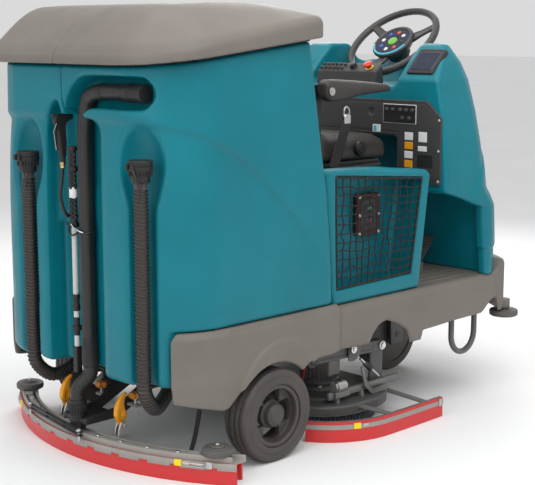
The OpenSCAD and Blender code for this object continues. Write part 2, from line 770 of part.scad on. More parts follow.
module front_tyre() from_axle() color("#3f3a38")
    translate([-44, fork_y, front_wheel_d / 2]) rotate([90, 0, 90]) difference() {
        rotate_extrude($fn = 96) polygon(concat([[front_wheel_d / 2 - 34, 0]],
            arc([front_wheel_d / 2 - 12, 12], 12, 270, 360, 4),
            arc([front_wheel_d / 2 - 12, 76], 12, 0, 90, 4), [[front_wheel_d / 2 - 34, 88]]));
    }

module front_hub() from_axle() color("#8a8c8f") {
    z = front_wheel_d / 2;
    translate([-38, fork_y, z]) rotate([90, 0, 90]) {
        cylinder(h = 76, r = z - 34, $fn = 96);
    }
    rod_x(-66, 66, fork_y, z, 12);
}

// ---------- seat ----------

module seat_slide() from_axle() color("#242426") {
    z = seat_slide_z;
    box([-210, -840, z], [210, -440, z + 10]);
    both_sides() box([150, -850, z + 10 - eps], [190, -430, z + seat_pan_t]);
    both_sides() {
        // upright that carries the back and the armrest
        x = seat_w / 2 + 4;
        box([150, -470, z], [x + 12, -430, z + 10]);
        box([x, -470, z], [x + 12, -430, arm_pivot[1] + 22]);
        rod_x(x + 12 - eps, arm_x[1] - 10, arm_pivot[0], arm_pivot[1], 8);
    }
    box([-seat_w / 2 - 5, -441, 1060], [seat_w / 2 + 5, -430, 1100]);
}

module seat_cushion() from_axle() color("#4b4643") {
    z = cushion_z;
    h = cushion_h;
    side_shape([[cushion_y[0] + 30, z], [cushion_y[1] - 14, z], [cushion_y[1], z + 24], [cushion_y[1] - 6, z + h + 8],
        [cushion_y[1] - 40, z + h + 14], [-640, z + h - 8], [cushion_y[0] + 70, z + h - 6],
        [cushion_y[0] + 18, z + h - 24], [cushion_y[0], z + h - 58], [cushion_y[0] + 6, z + 22]],
        -seat_w / 2, seat_w / 2);
}

module seat_back() from_axle() color("#4b4643") {
    z = cushion_z + cushion_h + 18;
    side_shape([[-506, z], [-514, z + 60], [-504, z + 130], [-470, 1270], [-446, 1290], [-408, 1292], [-392, 1270],
        [-412, 1110], [-441.3, 1104], [-441.3, z + 8], [-450, z]],
        -back_x, back_x);
}

module armrest(side) from_axle() color("#3d3a38") {
    x0 = side > 0 ? arm_x[0] : -arm_x[1];
    x1 = side > 0 ? arm_x[1] : -arm_x[0];
    difference() {
        side_shape([[arm_pivot[0] + 22, arm_pivot[1] - 20], [arm_pivot[0] + 26, arm_pivot[1] + 30],
            [arm_pivot[0], arm_pivot[1] + 46], [-760, arm_pivot[1] + 22], [-786, arm_pivot[1] + 6],
            [-780, arm_pivot[1] - 12], [-620, arm_pivot[1] - 22], [-520, arm_pivot[1] - 40],
            [arm_pivot[0] - 6, arm_pivot[1] - 40]], x0, x1);
        rod_x(-big, big, arm_pivot[0], arm_pivot[1], 8 + fit);
    }
}

module seat_belt() from_axle() color("#1b1b1c") {
    for (s = [-1, 1]) {
        x = s * (seat_w / 2 + 16);
        side_shape([[-560, seat_slide_z + 10], [-512, seat_slide_z + 10], [-572, 1046], [-620, 1046]], x - 3, x + 3);
    }
    x = -(seat_w / 2 + 16);
    side_shape([[-626, 1040], [-566, 1040], [-576, 1096], [-630, 1096]], x - 9, x + 9);
    both_sides() box([210.3, -558, seat_slide_z], [seat_w / 2 + 19, -514, seat_slide_z + 11]);
}

// ---------- scrub head ----------

module scrub_deck() from_axle() color("#434548") {
    z = deck_z;
    difference() {
        union() {
            translate([0, 0, z]) linear_extrude(12) polygon(rounded([-462, 462], [head_y - 236, head_y + 236], 200, 10));
            translate([0, 0, z - 26]) linear_extrude(30) difference() {
                polygon(rounded([-462, 462], [head_y - 236, head_y + 236], 200, 10));
                polygon(rounded([-454, 454], [head_y - 228, head_y + 228], 192, 10));
            }
            both_sides() {
                rod_z(brush_x, head_y, z + 12 - eps, z + 40, 92);
                rod_z(brush_x, head_y, z + 40 - eps, z + 190, 66);
                // bracket that the lift arm carries
                box([lift_x[0] - 22, arm_tip[0] - 34, z + 11], [lift_x[0] - 22 + 14, arm_tip[0] + 34, arm_tip[1] + 22]);
                rod_x(lift_x[0] - 9, lift_x[1] + 12, arm_tip[0], arm_tip[1], 10);
            }
        }
        both_sides() rod_z(brush_x, head_y, 0, z + 60, 12 + fit);
    }
}

module brush(side) from_axle() color("#5a5e62") {
    translate([side * brush_x, head_y, 0]) {
        difference() {
            cylinder(h = brush_h - 12, r = brush_d / 2, $fn = 96);
            translate([0, 0, -1]) cylinder(h = brush_h - 11 - 12, r = 70, $fn = 64);
        }
        translate([0, 0, brush_h - 12 - eps]) cylinder(h = 12, r = brush_d / 2 - 14, $fn = 96);
        translate([0, 0, brush_h - eps]) cylinder(h = 40, r = 12, $fn = 48);
    }
}

module lift_arms() from_axle() color("#38393b") {
    both_sides() difference() {
        union() {
            side_shape([[arm_root[0] + 4, arm_root[1] - 24], [arm_root[0] + 4, arm_root[1] + 24],
                [arm_tip[0] - 4, arm_tip[1] + 20], [arm_tip[0] - 4, arm_tip[1] - 20]], lift_x[0], lift_x[1]);
            rod_x(lift_x[0], lift_x[1], arm_root[0], arm_root[1], 24);
            rod_x(lift_x[0], lift_x[1], arm_tip[0], arm_tip[1], 20);
        }
        rod_x(0, big, arm_root[0], arm_root[1], 10 + fit);
        rod_x(0, big, arm_tip[0], arm_tip[1], 10 + fit);
    }
    // cross tube that makes the two arms one frame
    rod_x(-lift_x[0] - eps, lift_x[0] + eps, (arm_root[0] * 3 + arm_tip[0]) / 4 + 20, arm_root[1] - 3, 14);
}

// the side blade's curve, at a distance inside its outer face
side_arc = [[-291, head_y + 30], 300];
function side_line(inset) = concat([[-586 + inset, head_y - 275]],
    arc(side_arc[0], side_arc[1] - inset, 180, 120, 12));
function reversed(p) = [for (i = [len(p) - 1:-1:0]) p[i]];
module side_bar(outer, inner, z0, z1) {
    translate([0, 0, z0]) linear_extrude(z1 - z0) polygon(concat(side_line(outer), reversed(side_line(inner))));
}

module side_squeegees() from_axle() color("#c12a20") both_sides() {
    top = deck_z - 4;
    side_bar(0, 6, 0, top);
    side_bar(6 - eps, 18, top - 22, top);
    box([side_arc[0][0] - side_arc[1] + 10, head_y - 30, top - 22], [-462, head_y + 30, top - 10]);
    box([side_arc[0][0] - side_arc[1] + 12, head_y - 210, top - 22], [-401.3, head_y - 180, top - 10]);
}

// ---------- rear squeegee ----------

// an arc-shaped bar of the squeegee, between two radii and out to a half width
module curved_bar(r0, r1, half, z0, z1) {
    a0 = asin(half / r1);
    translate([0, squeegee_cy, z0]) linear_extrude(z1 - z0)
        polygon(concat(arc([0, 0], r1, 90 - a0, 90 + a0, 24), arc([0, 0], r0, 90 + a0, 90 - a0, 24)));
}

module squeegee_arm() from_axle() color("#3b3c3f") {
    difference() {
        union() {
            both_sides() side_shape([[lift_axis[0] - 18, lift_axis[1] - 18], [lift_axis[0] - 18, lift_axis[1] + 18],
                [lift_axis[0] + 30, lift_axis[1] + 14], [262, 168], [300, 146], [port_y + 16, 132],
                [port_y + 16, 112], [290, 112]], 48, 62);
            box([-62, 300, 112], [62, port_y + 16, 130]);
            // collar that the suction hose pushes on to
            rod_z(0, port_y, frame_z[1] + gap, 186, port_r + 5);
            // star knobs of the arm's brackets
            both_sides() {
                box([62 - eps, 236, 146], [112, 262, 154]);
                rod_z(92, 249, 154 - eps, 172, 7);
                rod_z(92, 249, 172 - eps, 196, 22);
            }
        }
        rod_x(-big, big, lift_axis[0], lift_axis[1], 9 + fit);
        rod_z(0, port_y, 0, 300, port_r);
    }
}

module squeegee_frame() from_axle() color("#b9bbbb") {
    difference() {
        union() {
            curved_bar(frame_in, squeegee_r - blade_t - gap, squeegee_half - 22, frame_z[0], frame_z[1]);
        }
        rod_z(0, port_y, 0, 300, port_r);
    }
    both_sides() {
        rod_z(roller_x, roller_y, frame_z[1] - eps, frame_z[1] + 34, 8);
        // ears of the toggle levers
        box([lever[0] - 26, lever[1] - 30, frame_z[1]], [lever[0] + 26, lever[1] + 44, frame_z[1] + 8]);
        for (x = [lever[0] - 12, lever[0] + 4])
            box([x, lever[1] - 12, frame_z[1]], [x + 8, lever[1] + 12, lever[2] + 12]);
        rod_x(lever[0] - 12, lever[0] + 12, lever[1], lever[2], 5);
    }
}

module squeegee_blades() from_axle() color("#c12a20") {
    curved_bar(squeegee_r - blade_t, squeegee_r, squeegee_half - 4, 0, blade_h);
    curved_bar(frame_in - gap - blade_t, frame_in - gap, squeegee_half - 34, 0, blade_h);
    for (r = [frame_in - gap, squeegee_r + 3.4])
        curved_bar(r - 3, r, squeegee_half - (r > frame_in ? 2 : 40), blade_h - 22, blade_h);
}

module squeegee_roller(side) from_axle() color("#55504e")
    translate([side * roller_x, roller_y, frame_z[1] + gap]) difference() {
        cylinder(h = 28, r = roller_r, $fn = 64);
        translate([0, 0, -1]) cylinder(h = 31, r = 8 + fit, $fn = 32);
    }

module toggle_lever(side) from_axle() color("#d98a1c") translate([side * lever[0], lever[1], lever[2]]) difference() {
    union() {
        rotate([90, 0, 90]) translate([0, 0, -3.6]) linear_extrude(7.2)
            polygon([[-9, -9], [9, -9], [12, 20], [8, 60], [-4, 96], [-14, 104], [-16, 92], [-12, 50]]);
    }
    rod_x(-20, 20, 0, 0, 5 + fit);
}

// ---------- hoses ----------

suction_route = [[hose_x, hose_y, 300], [hose_x, hose_y, 340], [hose_x, hose_y, 420], [hose_x, hose_y, 600], [hose_x, hose_y, 800],
    [hose_x, hose_y, 980], [hose_x - 2, hose_y, 1070], [hose_x - 14, hose_y, 1130], [-66, hose_y, 1172],
    [-120, hose_y, 1187], [-190, hose_y, suction_z], [-270, hose_y, suction_z], [suction_end_x, hose_y, suction_z]];
flex_route = [[hose_x, hose_y, 299.2], [hose_x, hose_y, 290], [hose_x, hose_y, 280], [-28, hose_y + 6, 260],
    [-12, port_y - 6, 236], [-1, port_y, 214], [0, port_y, 202], [0, port_y, 194], [0, port_y, 187.2]];
module suction_hose() from_axle() color("#1e1e1f") tube(smooth(suction_route, 3), hose_r, 12);
module suction_hose_flex() from_axle() color("#1e1e1f") tube(smooth(flex_route, 3), hose_r, 12);

drain_right_route = [[drain_right[0], drain_right[1], 960], [drain_right[0], drain_right[1], 880],
    [drain_right[0], drain_right[1], 700], [drain_right[0], drain_right[1], 500],
    [drain_right[0], drain_right[1], 340], [drain_right[0] + 2, drain_right[1] - 8, 270],
    [drain_right[0] + 22, drain_right[1] - 60, 214], [drain_right[0] + 60, drain_right[1] - 130, 226],
    [drain_right[0] + 88, low_tank_front + 36, 252], [drain_right[0] + 90, low_tank_front + 34, 270],
    [drain_right[0] + 90, low_tank_front + 34, 282], [drain_right[0] + 90, low_tank_front + 34, low_tank_z - 0.6]];
drain_left_route = [[drain_left[0], drain_left[1], 950], [drain_left[0], drain_left[1], 860],
    [drain_left[0], drain_left[1], 700], [drain_left[0], drain_left[1], 500],
    [drain_left[0], drain_left[1], 340], [drain_left[0], drain_left[1] - 10, 268],
    [drain_left[0] - 2, drain_left[1] - 70, 216], [drain_left[0] - 2, drain_left[1] - 140, 226],
    [drain_left[0] - 2, low_tank_front + 38, 252], [drain_left[0] - 2, low_tank_front + 34, 270],
    [drain_left[0] - 2, low_tank_front + 34, 282], [drain_left[0] - 2, low_tank_front + 34, low_tank_z - 0.6]];
module drain_hoses() from_axle() color("#1e1e1f") {
    tube(smooth(drain_right_route, 3), drain_r - 2, 12);
    tube(smooth(drain_left_route, 3), drain_r - 2, 12);
}

module drain_caps() from_axle() color("#222223") {
    translate([drain_right[0], drain_right[1], 960.4]) {
        cylinder(h = 34, r1 = drain_r + 4, r2 = drain_r + 10, $fn = 48);
        translate([0, 0, 34 - eps]) cylinder(h = 18, r = drain_r + 12, $fn = 48);
    }
    translate([drain_left[0], drain_left[1], 950.4]) {
        cylinder(h = 34, r1 = drain_r + 4, r2 = drain_r + 10, $fn = 48);
        translate([0, 0, 34 - eps]) cylinder(h = 18, r = drain_r + 12, $fn = 48);
    }
}

spray_route = [[58, 408, 951.4], [58, 414, 900], [56, 422, 850], [54, 410, 800], [54, 390, 782], [54, 360.4, 778]];
module spray_hose() from_axle() color("#1c1c1d") tube(smooth(spray_route, 3), 6, 8);

module spray_gun() from_axle() color("#252526") {
    rod_z(58, 408, 952.3, 976, 9);
    side_shape([[396, 976], [420, 976], [424, 1060], [440, 1092], [436, 1112], [384, 1112], [372, 1100], [392, 1070]],
        48, 68);
    translate([58, 366, 1104]) rotate([-90, 0, 0]) cylinder(h = 40, r = 8, $fn = 32);
    box([46, 360.3, 1090], [70, 372, 1118]);
    rod_x(44, 72, 430, 1076, 3);
}

module spray_trigger() from_axle() color("#b7b9ba") difference() {
    side_shape([[424.6, 1082], [436, 1084], [448, 1060], [440, 1000], [432, 1000], [436, 1056]], 44.5, 47.5);
    rod_x(0, 100, 430, 1076, 3 + fit);
}

module wand() from_axle() color("#c9cac8") {
    x = 12;
    y = 402;
    rod_z(x, y, 270, 560, 9);
    rod_z(x, y, 560 - eps, 780, 12);
    rod_z(x, y, 780 - eps, 860, 15);
    rod_z(x, y, 860 - eps, 1000, 12);
    rod_z(x, y, 1000 - eps, 1012, 15);
    for (z = [420, 760, 940]) box([x - 8, tank_rear - channel_depth + 0.3, z], [x + 8, y, z + 24]);
}

frame();
running_board();
rear_skirts();
recovery_tank();
solution_tank();
solution_cover();
lid_gasket();
recovery_lid();
vacuum_fan();
seat_base();
batteries();
side_nets();
charger_panel();
console_cowl();
console_panel();
instrument_cluster();
speed_knob();
emergency_stop();
steering_column();
steering_wheel();
horn_button();
rear_axle();
rear_tyre(-1);  // rear_tyre_right
rear_tyre(1);  // rear_tyre_left
rear_rim(-1);  // rear_rim_right
rear_rim(1);  // rear_rim_left
drive_fork();
front_tyre();
front_hub();
tie_down_loops();
front_roller(-1);  // front_roller_right
front_roller(1);  // front_roller_left
seat_slide();
seat_cushion();
seat_back();
armrest(-1);  // armrest_right
armrest(1);  // armrest_left
seat_belt();
accelerator_pedal();
brake_pedal();
scrub_deck();
brush(-1);  // brush_right
brush(1);  // brush_left
lift_arms();
side_squeegees();
squeegee_arm();
squeegee_frame();
squeegee_blades();
squeegee_roller(-1);  // squeegee_roller_right
squeegee_roller(1);  // squeegee_roller_left
toggle_lever(-1);  // toggle_lever_right
toggle_lever(1);  // toggle_lever_left
suction_hose();
suction_hose_flex();
drain_hoses();
drain_caps();
spray_hose();
spray_gun();
spray_trigger();
wand();
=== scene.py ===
# %% [markdown]
# # A ride-on floor scrubber, finished in Blender
#
# The machine is a moulded water tank on a steel frame, with a driver's seat and a console in front,
# a scrub head below and a curved squeegee behind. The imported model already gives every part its
# place and its joints. This lesson puts the real surfaces on it: rounded moulded plastic, ribbed
# hoses, treaded tyres, padded vinyl and netting. Loading the frame comes first, because every
# piece is placed by it.

# %% Load the frame
import math
from math import cos, pi, radians, sin

import bmesh
import bpy
import numpy as np
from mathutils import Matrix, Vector


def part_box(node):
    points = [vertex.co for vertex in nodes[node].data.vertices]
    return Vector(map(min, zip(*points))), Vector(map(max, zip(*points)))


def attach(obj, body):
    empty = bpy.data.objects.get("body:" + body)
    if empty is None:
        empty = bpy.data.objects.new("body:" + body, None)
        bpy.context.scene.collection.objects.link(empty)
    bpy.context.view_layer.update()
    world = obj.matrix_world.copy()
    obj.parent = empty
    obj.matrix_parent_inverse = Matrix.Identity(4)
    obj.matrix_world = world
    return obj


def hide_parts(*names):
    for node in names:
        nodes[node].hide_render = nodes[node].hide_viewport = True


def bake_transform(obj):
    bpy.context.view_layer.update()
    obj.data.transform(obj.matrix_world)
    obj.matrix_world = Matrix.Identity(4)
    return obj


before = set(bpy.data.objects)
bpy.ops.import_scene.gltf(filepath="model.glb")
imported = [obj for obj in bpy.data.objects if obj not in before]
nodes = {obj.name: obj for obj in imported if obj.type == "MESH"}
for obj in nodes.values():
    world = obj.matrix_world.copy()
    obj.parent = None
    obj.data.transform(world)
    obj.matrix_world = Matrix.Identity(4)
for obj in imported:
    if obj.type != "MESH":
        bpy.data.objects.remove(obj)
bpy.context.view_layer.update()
axle_low, axle_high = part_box("rear_axle")
AXLE_Y = 1000 * (axle_low.y + axle_high.y) / 2
print("rear axle stands", round(AXLE_Y), "mm behind the origin")

# %% [markdown]
# Workshop drawings of a vehicle are measured from an axle. All sizes below are millimetres from the
# middle of the rear axle's line on the floor, with X to the driver's left, Y to the rear and Z up.
# One function turns such a place into Blender's metres.


# %% Places and pieces
def place(x, y, z):
    """A drawing place in millimetres, as a point in metres."""
    return Vector((x, y + AXLE_Y, z)) / 1000


def new_mesh(name, points, faces):
    """A mesh from drawing places."""
    mesh = bpy.data.meshes.new(name)
    co = (np.asarray(points, float).reshape(-1, 3) + (0, AXLE_Y, 0)) / 1000
    mesh.from_pydata(co.tolist(), [], [tuple(f) for f in faces])
    return mesh


def shown(name, mesh):
    made = bpy.data.objects.new(name, mesh)
    bpy.context.scene.collection.objects.link(made)
    return made


def settle(made, material, body="chassis", replaces=()):
    """Gives a finished mesh its material, and joins it to its body."""
    made.data.validate()
    made.data.polygons.foreach_set("use_smooth", [True] * len(made.data.polygons))
    made.data.materials.clear()
    made.data.materials.append(material)
    if body:
        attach(made, body)
    if replaces:
        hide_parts(*replaces)
    return made


def both(make):
    """Runs a maker for the driver's left and right side."""
    return [make(side, word) for side, word in ((1, "left"), (-1, "right"))]


# %% [markdown]
# ## Camera and light
#
# The camera stands behind the machine's right rear corner at a standing person's eye height, with a
# long lens, so the uprights stay nearly parallel. Four large soft lamps and a pale room light it as
# a studio would.

# %% Camera and lamps
ROOM_LIGHT = 0.70
CAMERA_AT = (-3249, 2710, 1365)
CAMERA_YAW, CAMERA_DOWN, CAMERA_LENS = 44.22, 9.54, 83.68


def studio():
    scene = bpy.context.scene
    camera = bpy.data.objects.new("camera", bpy.data.cameras.new("camera"))
    camera.data.lens = CAMERA_LENS
    camera.location = place(*CAMERA_AT)
    yaw, down = radians(CAMERA_YAW), radians(CAMERA_DOWN)
    look = Vector((cos(yaw) * cos(down), -sin(yaw) * cos(down), -sin(down)))
    camera.rotation_mode = "QUATERNION"
    camera.rotation_quaternion = look.to_track_quat("-Z", "Y")
    scene.collection.objects.link(camera)
    scene.camera = camera
    for name, at, size, watts in (
        ("key", (-2600, 600, 3300), 2.2, 48),
        ("fill", (-900, 3600, 2300), 2.6, 30),
        ("front", (2200, -3300, 2600), 2.6, 60),
        ("top", (-200, 100, 3900), 3.0, 62),
    ):
        lamp = bpy.data.objects.new(name, bpy.data.lights.new(name, "AREA"))
        lamp.data.size = size
        lamp.data.energy = watts
        lamp.location = place(*at)
        aim = place(0, -300, 600) - lamp.location
        lamp.rotation_mode = "QUATERNION"
        lamp.rotation_quaternion = aim.to_track_quat("-Z", "Y")
        scene.collection.objects.link(lamp)
    world = bpy.data.worlds.new("room")
    scene.world = world
    world.use_nodes = True
    world.node_tree.nodes["Background"].inputs["Color"].default_value = (1, 1, 1, 1)
    world.node_tree.nodes["Background"].inputs["Strength"].default_value = ROOM_LIGHT
    scene.view_settings.view_transform = "Standard"


studio()

# %% [markdown]
# ## Shader maths
#
# A finish is a small sum: a base colour, plus patches, minus dust. Written as Python expressions the
# sum stays readable, so one class wraps a node's output and turns +, - and * into Math nodes.


# %% Expressions for materials
class Wire:
    """An output of a shader node. Sums and products of wires add Math nodes."""

    def __init__(self, tree, socket=None):
        self.tree, self.socket = tree, socket

    def node(self, kind, settings=None, inputs=None, out=0):
        made = self.tree.nodes.new(kind)
        for key, value in (settings or {}).items():
            setattr(made, key, value)
        for key, value in (inputs or {}).items():
            if isinstance(value, Wire):
                self.tree.links.new(value.socket, made.inputs[key])
            else:
                made.inputs[key].default_value = value
        return Wire(self.tree, made.outputs[out])

    def math(self, operation, *values):
        return self.node("ShaderNodeMath", {"operation": operation}, dict(enumerate(values)))

    def __add__(self, other):
        return self.math("ADD", self, other)

    __radd__ = __add__

    def __sub__(self, other):
        return self.math("SUBTRACT", self, other)

    def __rsub__(self, other):
        return self.math("SUBTRACT", other, self)

    def __mul__(self, other):
        return self.math("MULTIPLY", self, other)

    __rmul__ = __mul__

    def mix(self, a, b):
        """Colour a where this wire is 0, and b where it is 1."""
        colours = {6: a, 7: b, 0: self}
        return self.node("ShaderNodeMix", {"data_type": "RGBA", "clamp_factor": True}, colours, 2)

    def between(self, low, high):
        """This wire stretched so that low becomes 0 and high becomes 1, and cut off there."""
        limits = {0: self, 1: low, 2: high, 3: 0.0, 4: 1.0}
        return self.node("ShaderNodeMapRange", {"clamp": True}, limits)


def rgb(r, g, b):
    return (r, g, b, 1.0)


def tint(colour, factor):
    return tuple(min(1.0, c * factor) for c in colour[:3]) + (1.0,)


class Finish(Wire):
    """A new material with its coordinates, noises and shader."""

    def __init__(self, name):
        self.material = bpy.data.materials.new(name)
        self.material.use_nodes = True
        super().__init__(self.material.node_tree)
        self.tree.nodes.clear()
        self.coords = self.node("ShaderNodeTexCoord", out=3)

    def noise(self, scale, detail=2.0, rough=0.5):
        """Soft noise; scale is how many blobs fit in a metre."""
        inputs = {"Vector": self.coords, "Scale": scale, "Detail": detail, "Roughness": rough}
        return self.node("ShaderNodeTexNoise", None, inputs)

    def cells(self, scale, feature="F1"):
        inputs = {"Vector": self.coords, "Scale": scale}
        return self.node("ShaderNodeTexVoronoi", {"feature": feature}, inputs)

    def bump(self, height, millimetres, strength=1.0, onto=None):
        inputs = {"Strength": strength, "Distance": millimetres / 1000, "Height": height}
        if onto is not None:
            inputs["Normal"] = onto
        return self.node("ShaderNodeBump", None, inputs)

    def edges(self, low=0.52, high=0.62):
        """1 on sharp outer edges, 0 on flats and in hollows."""
        return self.node("ShaderNodeNewGeometry", out=7).between(low, high)

    def shade(self, **inputs):
        """The last node; keyword names are the shader's sockets with _ for a space."""
        shader = self.node(
            "ShaderNodeBsdfPrincipled", None, {key.replace("_", " "): v for key, v in inputs.items()}
        )
        output = self.tree.nodes.new("ShaderNodeOutputMaterial")
        self.tree.links.new(shader.socket, output.inputs["Surface"])
        return self.material


# %% [markdown]
# ## A modeller for moulded plastic
#
# The tanks, covers and console are rotomoulded: every edge is round, and hollows flow into the
# walls. Bevels on a cut-up polygon mesh break down on such shapes. Here a form is described by its
# distance field instead: a number for each point of a grid, below zero inside the plastic. Two
# fields meet in an edge of any radius, and the surface is then drawn through the zeros.


# %% Distance fields
class Grid:
    """A box of points, cell millimetres apart."""

    def __init__(self, low, high, cell):
        self.low, self.cell = np.array(low, float), cell
        count = [int(math.ceil((b - a) / cell)) + 1 for a, b in zip(low, high)]
        lines = [a + cell * np.arange(n) for a, n in zip(low, count)]
        self.x = lines[0][:, None, None]
        self.y = lines[1][None, :, None]
        self.z = lines[2][None, None, :]

    def plan(self, points):
        """Distance to an outline seen from above; side and back are seen from there."""
        return outline(points, self.x, self.y)

    def side(self, points):
        return outline(points, self.y, self.z)

    def back(self, points):
        return outline(points, self.x, self.z)


def outline(points, u, v):
    """Distance from (u, v) to a closed line, negative inside it."""
    near = np.full(np.broadcast(u, v).shape, 1e12)
    inside = np.zeros(near.shape, bool)
    points = [tuple(map(float, p)) for p in points]
    for (ax, ay), (bx, by) in zip(points, points[1:] + points[:1]):
        ex, ey = bx - ax, by - ay
        length = ex * ex + ey * ey
        if length < 1e-9:
            continue
        wx, wy = u - ax, v - ay
        t = np.clip((wx * ex + wy * ey) / length, 0, 1)
        near = np.minimum(near, (wx - t * ex) ** 2 + (wy - t * ey) ** 2)
        if abs(ey) > 1e-9:
            inside ^= ((v < ay) != (v < by)) & (wx < wy * ex / ey)
    return np.where(inside, -1, 1) * np.sqrt(near)


def band(u, low, high):
    return np.maximum(low - u, u - high)


def meet(a, b, r=0.0):
    """Inside both fields, with an edge of radius r."""
    if r <= 0:
        return np.maximum(a, b)
    flat = np.minimum(np.maximum(a, b), -r)
    return flat + np.hypot(np.maximum(a + r, 0), np.maximum(b + r, 0))


def cut(a, b, r=0.0):
    """Inside a and outside b."""
    return meet(a, -b, r)


def fuse(a, b, r=0.0):
    """Inside either field, with a fillet of radius r between them."""
    return -meet(-a, -b, r)


def post(u, v, at, r):
    return np.hypot(u - at[0], v - at[1]) - r


def block(g, low, high, r=0.0):
    """A box with rounded edges."""
    near = [
        abs(c - (a + b) / 2) - (b - a) / 2 + r
        for c, a, b in zip((g.x, g.y, g.z), low, high)
    ]
    outer = np.sqrt(sum(np.maximum(q, 0) ** 2 for q in near))
    inner = np.minimum(np.maximum(near[0], np.maximum(near[1], near[2])), 0)
    return outer + inner - r


def capsule(g, a, b, r):
    """A round bar between two places, or a cone-like one where r is a pair of radii."""
    a, b = np.array(a, float), np.array(b, float)
    r0, r1 = r if isinstance(r, tuple) else (r, r)
    d = b - a
    t = ((g.x - a[0]) * d[0] + (g.y - a[1]) * d[1] + (g.z - a[2]) * d[2]) / (d @ d)
    t = np.clip(t, 0, 1)
    gap = (g.x - a[0] - t * d[0]) ** 2 + (g.y - a[1] - t * d[1]) ** 2 + (g.z - a[2] - t * d[2]) ** 2
    return np.sqrt(gap) - (r0 + (r1 - r0) * t)


def arc(centre, r, a, b, n=8):
    """Points along an arc, from angle a to angle b in degrees."""
    turns = [radians(a + (b - a) * i / n) for i in range(n + 1)]
    return [(centre[0] + r * cos(t), centre[1] + r * sin(t)) for t in turns]


def rounded(x, y, r, n=6):
    """A rectangle with rounded corners, from its limits in both directions."""
    corners = ((x[1], y[1], 0), (x[0], y[1], 90), (x[0], y[0], 180), (x[1], y[0], 270))
    line = []
    for cx, cy, a in corners:
        inner = (cx - math.copysign(r, cx - sum(x) / 2), cy - math.copysign(r, cy - sum(y) / 2))
        line += arc(inner, r, a, a + 90, n)
    return line


def flowing(points, steps=6, closed=False):
    """A smooth line through given points."""
    p = [np.array(q, float) for q in points]
    n = len(p)
    made = []
    for i in range(n if closed else n - 1):
        if closed:
            a, b, c, d = (p[(i + k) % n] for k in (-1, 0, 1, 2))
        else:
            a, b, c, d = p[max(i - 1, 0)], p[i], p[i + 1], p[min(i + 2, n - 1)]
        for k in range(steps):
            t = k / steps
            made.append(
                0.5 * (2 * b + (c - a) * t + (2 * a - 5 * b + 4 * c - d) * t * t
                       + (3 * b - a - 3 * c + d) * t**3)
            )
    return made if closed else made + [p[-1]]


# %% [markdown]
# The surface is found cell by cell. A cell whose corners lie on both sides of zero gets one point,
# at the middle of the places where its edges cross zero. Neighbouring points are joined to four-sided
# faces. The result is an even mesh, which shades smoothly and wears its edges evenly.


# %% Drawing the surface of a field
def skin(field, g):
    """Points and faces of the surface where a field is zero."""
    field = np.ascontiguousarray(field, np.float32)
    solid = field < 0
    n = np.array(field.shape) - 1
    part = lambda a, i, j, k: a[i:n[0] + i, j:n[1] + j, k:n[2] + k]
    corners = [(i, j, k) for i in (0, 1) for j in (0, 1) for k in (0, 1)]
    count = sum(part(solid, *c).astype(np.int8) for c in corners)
    cells = np.argwhere((count > 0) & (count < 8))
    number = np.full(tuple(n), -1, np.int64)
    number[tuple(cells.T)] = np.arange(len(cells))
    total, hits = np.zeros((len(cells), 3)), np.zeros((len(cells), 1))
    for a in corners:
        for axis in range(3):
            if a[axis]:
                continue
            step = np.eye(3, dtype=int)[axis]
            fa = field[tuple((cells + a).T)]
            fb = field[tuple((cells + a + step).T)]
            crossed = (fa < 0) != (fb < 0)
            t = np.where(crossed, fa / np.where(crossed, fa - fb, 1), 0)
            total += crossed[:, None] * (np.array(a) + t[:, None] * step)
            hits += crossed[:, None]
    points = g.low + g.cell * (cells + total / hits)
    faces = []
    for axis in range(3):
        u, v = [k for k in range(3) if k != axis]
        low, high = [slice(None)] * 3, [slice(None)] * 3
        low[axis], high[axis] = slice(0, -1), slice(1, None)
        a, b = solid[tuple(low)], solid[tuple(high)]
        edge = np.argwhere(a != b)
        edge = edge[(edge[:, u] > 0) & (edge[:, v] > 0)]
        edge = edge[(edge[:, u] < n[u]) & (edge[:, v] < n[v])]
        inner = a[tuple(edge.T)]
        ring = []
        for du, dv in ((0, 0), (-1, 0), (-1, -1), (0, -1)):
            cell = edge.copy()
            cell[:, u] += du
            cell[:, v] += dv
            ring.append(number[tuple(cell.T)])
        ring = np.stack(ring, 1)
        flip = inner if axis != 1 else ~inner
        ring[~flip] = ring[~flip][:, ::-1]
        faces.append(ring)
    return points, np.concatenate(faces)


def mould(name, g, field, material, body="chassis", slot=None, replaces=()):
    """A piece from a distance field on a grid."""
    field = np.broadcast_to(field, np.broadcast(g.x, g.y, g.z).shape)
    points, faces = skin(field, g)
    print(name, len(faces), "faces")
    return settle(shown(name, new_mesh(name, points, faces)), material, body, replaces)

# %% [markdown]
# ## Finishes
#
# Rotomoulded plastic has no single colour up close. The pigment powder melts unevenly, so the colour
# drifts by a few percent over a hand's width, the skin has a fine pebble, and handling polishes some
# patches. The same recipe serves every moulded part, with its own colour and grain.


